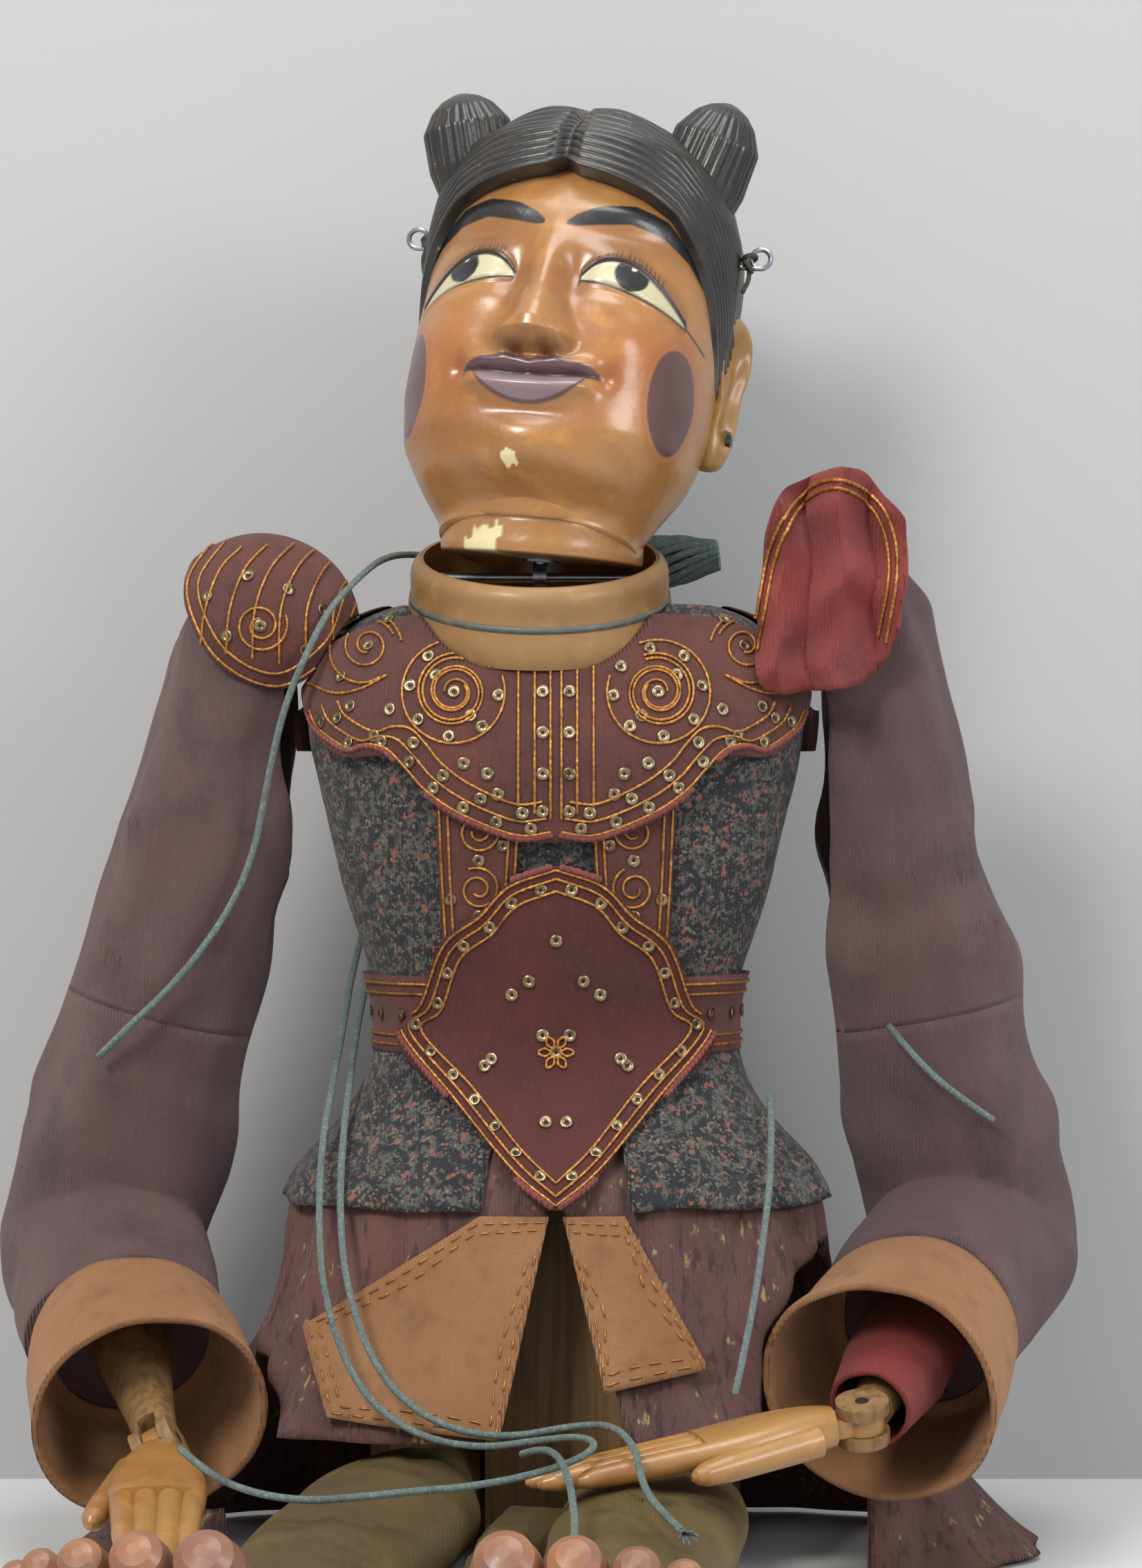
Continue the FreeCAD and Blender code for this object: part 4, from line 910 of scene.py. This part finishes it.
def make_eye_knots():
    """Dark waxed thread knotted round the wire eye at each temple."""
    for side, sign in SIDES.items():
        knots = []
        for k, (r, tilt) in enumerate(((1.9, 0.3), (1.7, 1.4), (1.8, 2.3))):
            loop = [(sign * 50.5 + r * math.cos(a) * math.cos(tilt), -4 + r * math.sin(a) - k * 0.4,
                     101 - 1.6 * k + r * math.cos(a) * math.sin(tilt))
                    for a in np.linspace(0, 2 * math.pi, 26)]
            knots.append(tube(loop, 0.85, 6))
        tail = [(sign * 50.5, -4.5, 99), (sign * 51.2, -4.6, 94), (sign * 50, -5, 89)]
        knots.append(tube(smooth_line(tail, 1), 0.7, 6))
        make(f"eye_knot_{side}", merged(knots), DARK_THREAD, "head", SKULL_FRAME)


def make_ring_line():
    """The grey-blue line painted round the neck ring's middle."""
    frame_place = moved(-5, -7.5, 287) @ turned_about("X", 18)
    tree = tree_of("neck_ring")
    turn = frame_place.to_3x3()
    rows = []
    for z in (0.9, -1.1):
        for a in np.linspace(0, 2 * math.pi, 180, endpoint=False):
            look = turn @ Vector((-math.cos(a), -math.sin(a), 0))
            start = frame_place @ (Vector((60 * math.cos(a), 60 * math.sin(a), z)) * MM)
            hit, normal, *_ = tree.ray_cast(start, look)
            place = hit if hit is not None else start + look * 0.02
            rows.append(tuple((place - look * 0.12 * MM) / MM))
    line = make("neck_ring_line", (rows, lattice(2, 180)), LINE_PAINT, "torso")
    line.modifiers.new("thick", "SOLIDIFY").thickness = 0.1 * MM


make_ring_line()
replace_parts(make_face(), "head")
make_neck()
make_hair()
make_buns()
make_ears()
make_eye_knots()


# ---------------------------------------------------------------- parts that keep their CAD shape
KEPT = {"trunk": WOOD, "neck_ring": RING_LACQUER, "neck_cross_pin": WIRE, "shoulder_pins": WIRE,
        "hip_axle": WOOD, "neck_eye": WIRE, "ear_plugs": DARK, "string_eyes": WIRE}
LIMB_SURFACES = {"upper_arm": WOOD, "forearm": WOOD, "hand": SKIN_PLAIN, "thigh": WOOD, "shin": WOOD,
                 "foot": FOOT_LACQUER, "elbow_pin": WIRE, "wrist_pin": WIRE, "knee_pin": WIRE,
                 "ankle_pin": WIRE}
for side in SIDES:
    KEPT.update({f"{part}_{side}": surface for part, surface in LIMB_SURFACES.items()})
for node, surface in KEPT.items():
    slots = NODES[node].data.materials
    slots.clear()
    slots.append(surface)


# ---------------------------------------------------------------- cloth
def rough(p, size, seed=0.0):
    """Smooth noise from -1 to 1 with bumps about size mm across."""
    return noise.noise(Vector((p[0] / size + seed, p[1] / size - seed, p[2] / size)))


FLOOR_GAP = 0.4


def soften(name, nodes, surface, folds, body=None, longest=5.0, bend=None):
    """The CAD's plain cloth solids as one piece, cut finer. folds gives a point's move in mm, which takes no
    point below FLOOR_GAP, or below its own height where that is less."""
    mesh = bmesh.new()
    for node in nodes:
        mesh.from_mesh(NODES[node].data)
    bmesh.ops.remove_doubles(mesh, verts=mesh.verts, dist=2e-6)
    bmesh.ops.dissolve_limit(mesh, angle_limit=math.radians(1.2), verts=mesh.verts, edges=mesh.edges)
    bmesh.ops.triangulate(mesh, faces=mesh.faces)
    for _ in range(7):
        long_edges = [e for e in mesh.edges if e.calc_length() > longest * MM]
        if not long_edges:
            break
        bmesh.ops.subdivide_edges(mesh, edges=long_edges, cuts=1)
        bmesh.ops.triangulate(mesh, faces=[f for f in mesh.faces if len(f.verts) > 3])
    for v in mesh.verts:
        p = v.co / MM
        v.co = (p + Vector(folds(p))) * MM
        v.co.z = max(v.co.z, min(p[2], FLOOR_GAP) * MM)
    data = bpy.data.meshes.new(name)
    mesh.to_mesh(data)
    mesh.free()
    piece = finish_mesh(name, data, surface, None if bend else body)
    data.set_sharp_from_angle(angle=math.radians(50))
    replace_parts(piece, *nodes)
    if bend:
        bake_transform(piece)
    return piece


def outward(p, middle_y=-4.0):
    """Away from the body's upright axis, and the angle round it."""
    away = Vector((p[0], p[1] - middle_y, 0))
    return away.normalized(), math.atan2(p[0], -(p[1] - middle_y))


def skirt_folds(p):
    away, around = outward(p)
    grow = min(1, max(0, (148 - p[2]) / 60))
    waver = 0.5 * rough(p, 60)
    pleat = math.sin(around * 27 + 3 * waver + 1.3 * math.sin(around * 5)) * 0.5 - 0.5
    return away * grow * (2.8 * pleat + 1.5 * (rough(p, 34, 3) - 0.6))


def peplum_folds(p):
    away, around = outward(p)
    grow = min(1, max(0, (150 - p[2]) / 40))
    return away * grow * (1.0 * math.sin(around * 19 + 2 * rough(p, 50)) - 0.2) + Vector((0, 0, 1)) * grow \
        * 1.6 * rough(p, 26, 5)


def light_folds(p):
    away, _ = outward(p)
    return away * 0.35 * rough(p, 22) + away * 0.25 * rough(p, 9, 4)


def flat_folds(p):
    away, _ = outward(p)
    return away * (0.45 * rough(p, 18, 2) + 0.2 * rough(p, 7, 6))


def limb_folds(start, end, deep, seed):
    """Folds for a sleeve or trouser leg: long soft drapes, and creases across the inside of the bend."""
    start, end = Vector(start), Vector(end)
    axis = (end - start).normalized()

    def folds(p):
        along = (p - start).dot(axis)
        away = p - start - axis * along
        if away.length < 1e-6:
            return Vector((0, 0, 0))
        away.normalize()
        drape = rough(Vector((away.x * 26, away.y * 26, along * 0.32)), 15, seed)
        crease = math.sin(along / 7.5 + 2.6 * rough(p, 30, seed + 3))
        crease *= max(0.0, rough(p, 44, seed + 8) + 0.25)
        return away * deep * (1.0 * drape - 0.55 + 0.75 * crease)
    return folds


SHOULDER = {"right": (-90, 4, 276), "left": (90, 4, 276)}
ELBOW = {"right": (-140, 12, 90), "left": (128, 12, 90)}
WRIST = {"right": (-112, -84, 42), "left": (86, -98, 52)}
HIP = {"right": (-36, -16, 22), "left": (36, -16, 22)}
KNEE = {"right": (-58, -134, 18), "left": (22, -136, 18)}
ANKLE = {"right": (-80, -252, 18.2), "left": (8, -256, 18.2)}


def toward(a, b, share):
    """The point that share of the way from a to b, in metres."""
    return tuple((p + (q - p) * share) * MM for p, q in zip(a, b))


def heap_folds(p):
    return Vector((0, 0, -1.2 + 1.4 * rough(p, 12)))


def crumple(p):
    return Vector((rough(p, 16, 1) * 0.7, rough(p, 14, 7) - 0.2, rough(p, 18, 4) * 0.8)) * 4.2


def dress_trunk():
    soften("blouse", ["bodice"], PRINT, light_folds, "torso", 8)
    soften("peplum_flounce", ["peplum"], PRINT, peplum_folds, "torso", 5)
    soften("skirt_cloth", ["skirt"], IKAT, skirt_folds, "torso", 5)
    soften("flap_pair", ["front_flaps"], TAN, flat_folds, "torso", 4)
    return {name: soften(name + "_cloth", [name], surface, flat_folds, "torso", 4)
            for name, surface in (("collar", MAROON), ("breast_strips", MAROON), ("belt", MAROON),
                                  ("apron", APRON_RED))}


def dress_limbs():
    for side, sign in SIDES.items():
        shoulder, elbow, wrist = SHOULDER[side], ELBOW[side], WRIST[side]
        upper = limb_folds(shoulder, elbow, 3.4, 3 * sign)
        lower = limb_folds(elbow, wrist, 3.4, 5 * sign)

        def arm_folds(p, upper=upper, lower=lower, elbow=elbow):
            share = min(1.0, max(0.0, (elbow[2] + 24 - p[2]) / 30))
            return upper(p) * (1 - share) + lower(p) * share
        soften(f"sleeve_skin_{side}", [f"sleeve_{side}", f"elbow_sleeve_{side}"], SLEEVE, arm_folds,
               longest=6, bend=(f"upper_arm_{side}", f"forearm_{side}", toward(shoulder, elbow, 0.66),
                                toward(elbow, wrist, 0.22)))
        soften(f"cuff_cloth_{side}", [f"cuff_{side}"], TAN, limb_folds(elbow, wrist, 1.3, 9 * sign),
               f"forearm_{side}", 4)
        hip, knee, ankle = HIP[side], KNEE[side], ANKLE[side]
        soften(f"trouser_cloth_{side}", [f"trouser_leg_{side}"], OLIVE,
               limb_folds(hip, ankle, 1.6, 7 * sign), longest=6,
               bend=(f"thigh_{side}", f"shin_{side}", toward(hip, knee, 0.72), toward(knee, ankle, 0.22)))
    soften("under_cuff_cloth", ["under_cuff_left"], LINING,
           limb_folds(ELBOW["left"], WRIST["left"], 0.6, 2), "forearm_left", 3)
    soften("lap_heap", ["lap_cloth"], OLIVE, heap_folds, "torso", 4)


CLOTHS = dress_trunk()
dress_limbs()
# The leaves ride on the torso, also when an arm swings.
LEAF_RIGHT = soften("epaulette_leaf_right", ["epaulette_right"], MAROON, flat_folds, "torso", 3)
LEAF_LEFT = soften("epaulette_leaf_left", ["epaulette_left"], LINING, crumple, "torso", 3)


# ---------------------------------------------------------------- embroidery
def ring_piece(place, normal, outer=1.9, inner=0.55):
    """A sequin: a dished ring on the surface at place."""
    n = Vector(normal).normalized()
    side = n.orthogonal().normalized()
    up = n.cross(side)
    points = []
    for radius, lift in ((inner, 0.35), (outer * 0.6, 0.30), (outer, 0.75), (outer, 0.5), (inner, 0.1)):
        points += [Vector(place) + n * lift + (side * math.cos(a) + up * math.sin(a)) * radius
                   for a in np.linspace(0, 2 * math.pi, 12, endpoint=False)]
    return [tuple(p) for p in points], lattice(5, 12) + [(48 + i, 48 + (i + 1) % 12, (i + 1) % 12, i)
                                                         for i in range(12)]


TIPPED = 0.12


def sequins_on(tree, spots, look=(0, 1, 0)):
    """Sequins at those places, each tipped a little its own way."""
    shapes = []
    look = Vector(look).normalized()
    for x, z in spots:
        hit, normal, *_ = tree.ray_cast(Vector((x, 0, z)) * MM - look * 0.4, look)
        if hit is not None:
            tip = Vector((random.uniform(-TIPPED, TIPPED), 0, random.uniform(-TIPPED, TIPPED)))
            shapes.append(ring_piece(hit / MM, (facing(normal, look) + tip).normalized()))
    return shapes


def couched(tree, lines, radius=0.45, lift=0.4, look=(0, 1, 0)):
    """Twisted cords sewn along lines on a cloth."""
    shapes = []
    for line in lines:
        for run in laid(tree, smooth_line(line, 1.4), lift, look):
            shapes.append(twisted(run, radius))
    return shapes


def mirrored(line):
    return [(-x, z) for x, z in line]


def spiral(centre, outer, inner, turns, start, sign):
    """A scroll line in the X-Z plane, from radius outer to inner."""
    share = np.linspace(0, 1, int(34 * turns))
    angle = start + sign * share * turns * 2 * math.pi
    radius = outer + (inner - outer) * share
    return [(centre[0] + r * math.cos(a), centre[1] + r * math.sin(a)) for a, r in zip(angle, radius)]


def drawn_in(line, centre, by):
    """The line moved towards centre by that many mm."""
    out = []
    for x, z in line:
        away = math.hypot(x - centre[0], z - centre[1]) or 1.0
        out.append((x + (centre[0] - x) * by / away, z + (centre[1] - z) * by / away))
    return out


def spaced(line, gap):
    """Points gap apart along a line."""
    p = smooth_line(line, 1.0)
    far = np.concatenate([[0], np.cumsum(np.linalg.norm(np.diff(p, axis=0), axis=1))])
    return [tuple(np.array([np.interp(d, far, p[:, 0]), np.interp(d, far, p[:, 1])]))
            for d in np.arange(gap / 2, far[-1], gap)]


def stitch(name, body, shapes, surface):
    if shapes:
        make(name, merged(shapes), surface, body)


COLLAR_EDGE = [(-1.5, 215.5), (-10, 214.5), (-19, 217), (-30, 222), (-38.5, 228), (-44, 234), (-50, 240),
               (-56, 241.5), (-62, 240.5), (-71, 246.5), (-74, 252)]


def embroider_collar():
    tree = tree_of(CLOTHS["collar"])
    lines, spots = [], []
    for flip in (False, True):
        side = mirrored if flip else list
        centre = (-16, 268)
        rows = [drawn_in(COLLAR_EDGE, centre, by) for by in (0.4, 4.6, 9.6)]
        lines += [side(row) for row in rows]
        spots += side(spaced(drawn_in(COLLAR_EDGE, centre, 2.4), 10.5))
        spots += side(spaced(drawn_in(COLLAR_EDGE, centre, 7.1), 13))
        for x in (-1.6, -6.2, -11.0):
            lines.append(side([(x, 266), (x, 250), (x, 236), (x, 219 - x * 0.4)]))
        spots += side([(-3.9, z) for z in (222, 233, 245, 257)])
        middle = (-30, 257)
        for outer, inner, turns in ((15.4, 15.0, 0.86), (11.6, 2.6, 2.3), (10.2, 3.6, 1.9)):
            lines.append(side(spiral(middle, outer, inner, turns, 1.2, 1)))
        spots += side([(middle[0] + 13.2 * math.cos(a), middle[1] + 13.2 * math.sin(a))
                       for a in np.linspace(0.6, 6.2, 8)])
        spots += side([(-30, 257), (-25, 250), (-35.5, 262), (-20, 233), (-27, 236), (-17, 227), (-49, 252)])
        lines.append(side(spiral((-56, 271), 8.4, 2.0, 1.7, 0.4, 1)))
        lines.append(side(spiral((-57, 270), 11.5, 10, 0.8, 0.2, 1)))
        lines.append(side([(-50, 262), (-58, 258), (-66, 257), (-74, 260)]))
        spots += side([(-56, 271), (-64, 262), (-50, 279), (-61, 253)])
    stitch("collar_cords", "torso", couched(tree, lines), GOLD)
    stitch("collar_sequins", "torso", sequins_on(tree, spots), SEQUIN)
    border = []
    for flip in (False, True):
        line = mirrored(COLLAR_EDGE) if flip else COLLAR_EDGE
        border += couched(tree, [drawn_in(line, (-16 if not flip else 16, 268), -0.6)], 0.9, 0.2)
    stitch("collar_border", "torso", border, RED_EDGE)


def embroider_strips():
    tree = tree_of(CLOTHS["breast_strips"])
    lines, spots = [], []
    for sign in (-1, 1):
        def at(x, z, sign=sign):
            return sign * x, z
        lines += [[at(10.6, 235), at(12, 205), at(14.6, 174)], [at(13, 235), at(14.4, 205), at(16.6, 174)],
                  [at(34.6, 235), at(33.6, 205), at(31.8, 174)], [at(32, 235), at(31.2, 205), at(29.4, 174)]]
        for k, z in enumerate((216, 199, 183)):
            lines.append(spiral(at(22.8, z), 6.6, 1.6, 1.7, 1.0 + k, sign))
        spots += [at(22.8, z) for z in (225, 207.5, 191, 176)] + [at(31, 196), at(15.5, 212)]
    stitch("strip_cords", "torso", couched(tree, lines), GOLD)
    stitch("strip_sequins", "torso", sequins_on(tree, spots), SEQUIN)


APRON_EDGE = [(0, 206), (-14, 201), (-23, 192), (-34, 183), (-41, 165), (-47, 157), (-31, 137), (-13, 117),
              (0, 107)]


def embroider_apron():
    tree = tree_of(CLOTHS["apron"])
    lines, spots = [], []
    centre = (0, 156)
    for flip in (False, True):
        edge_line = mirrored(APRON_EDGE) if flip else APRON_EDGE
        lines += [drawn_in(edge_line, centre, by) for by in (1.2, 3.8, 7.4)]
        spots += spaced(drawn_in(edge_line, centre, 5.6), 9.5)
        sign = 1 if flip else -1
        spots += [(sign * 8, 172), (sign * 19, 149), (sign * 21, 147), (sign * 3, 131), (sign * 13, 168)]
    for k in range(6):
        a = math.pi / 3 * k
        petal = [(5.0 * math.cos(a + d) * r, 151 + 5.0 * math.sin(a + d) * r)
                 for d, r in ((0, 0.25), (-0.34, 0.7), (0, 1.05), (0.34, 0.7), (0, 0.25))]
        lines.append(petal)
    spots += [(0, 151), (-4, 156), (4, 156), (0, 184)]
    stitch("apron_cords", "torso", couched(tree, lines), GOLD)
    stitch("apron_sequins", "torso", sequins_on(tree, spots), SEQUIN)
    border = []
    for edge_line in (APRON_EDGE, mirrored(APRON_EDGE)):
        border += couched(tree, [drawn_in(edge_line, centre, -0.2)], 0.95, 0.3)
    stitch("apron_border", "torso", border, RED_EDGE)


def round_lines(tree, heights, lift=0.4, radius=0.45, middle=(0, -1)):
    """Cords round the body at those heights."""
    shapes = []
    for z in heights:
        run = []
        for a in np.linspace(0, 2 * math.pi, 200):
            look = Vector((-math.sin(a), math.cos(a), 0))
            hit, *_ = tree.ray_cast(Vector((middle[0], middle[1], z)) * MM - look * 0.3, look)
            if hit is not None:
                run.append(tuple((hit - look * lift * MM) / MM))
        if len(run) > 10:
            shapes.append(twisted(run, radius))
    return shapes


def embroider_belt():
    tree = tree_of(CLOTHS["belt"])
    stitch("belt_cords", "torso", round_lines(tree, (152.4, 155.2, 167.6, 170.6)), GOLD)
    shapes = []
    for a in np.linspace(0, 2 * math.pi, 34, endpoint=False):
        look = Vector((-math.sin(a), math.cos(a), 0))
        hit, normal, *_ = tree.ray_cast(Vector((0, -1, 161.5)) * MM - look * 0.3, look)
        if hit is not None:
            shapes.append(ring_piece(hit / MM, -look))
    stitch("belt_sequins", "torso", shapes, SEQUIN)


def embroider_leaves():
    tree = tree_of(LEAF_RIGHT)
    rim = [(-58, 292), (-64, 272), (-74, 262), (-84, 258), (-96, 262), (-106, 272), (-112, 290), (-104, 306)]
    lines = [drawn_in(rim, (-84, 290), by) for by in (1.4, 5.0)]
    for k in range(6):
        x = -66 - k * 7.5
        lines.append([(x + 9, 304 - k * 0.6), (x + 3, 294), (x - 1, 282),
                      (x - 1 - k * 0.3, 266 + abs(k - 2) * 1.4)])
    lines += [spiral((-88, 277), 8, 2, 1.8, 0.4, -1)]
    spots = [(-88, 277), (-75, 270), (-98, 274), (-104, 286), (-80, 288), (-92, 292), (-97, 262), (-70, 282)]
    stitch("leaf_cords_right", "torso", couched(tree, lines), GOLD)
    stitch("leaf_sequins_right", "torso", sequins_on(tree, spots), SEQUIN)
    tree = tree_of(LEAF_LEFT)
    rim = [(58, 268), (63, 298), (71, 314), (82, 319.5), (95, 314), (101, 298), (98, 272)]
    rims = [rim, drawn_in(rim, (80, 285), 2.6)]
    stitch("leaf_cords_left", "torso", couched(tree, rims, 0.6), GOLD)


def stitched(tree, outline, inset, name, centre):
    """Running stitches a little inside a panel's edge."""
    shapes = []
    for run in laid(tree, smooth_line([(x, z) for x, z in drawn_in(outline, centre, inset)], 0.9), 0.25):
        for k in range(0, len(run) - 4, 6):
            shapes.append(tube(run[k:k + 4], 0.3, 5))
    stitch(name, "torso", shapes, GOLD)


def stitch_flaps():
    tree = tree_of(bpy.data.objects["flap_pair"])
    first = [(-2, 105), (-22, 105), (-74, 72), (-66, 48), (-16, 43), (-2, 105)]
    second = [(2, 105), (20, 105), (44, 62), (14, 56), (2, 105)]
    for k, (outline, centre) in enumerate(((first, (-34, 72)), (second, (20, 80)))):
        dense = [tuple(np.array(a) + (np.array(b) - a) * t) for a, b in zip(outline, outline[1:])
                 for t in np.linspace(0, 1, 12, endpoint=False)]
        stitched(tree, dense, 2.2, f"flap_stitches_{k}", centre)
        stitched(tree, dense, 5.2, f"flap_hem_{k}", centre)


embroider_collar()
embroider_strips()
embroider_apron()
embroider_belt()
embroider_leaves()
stitch_flaps()
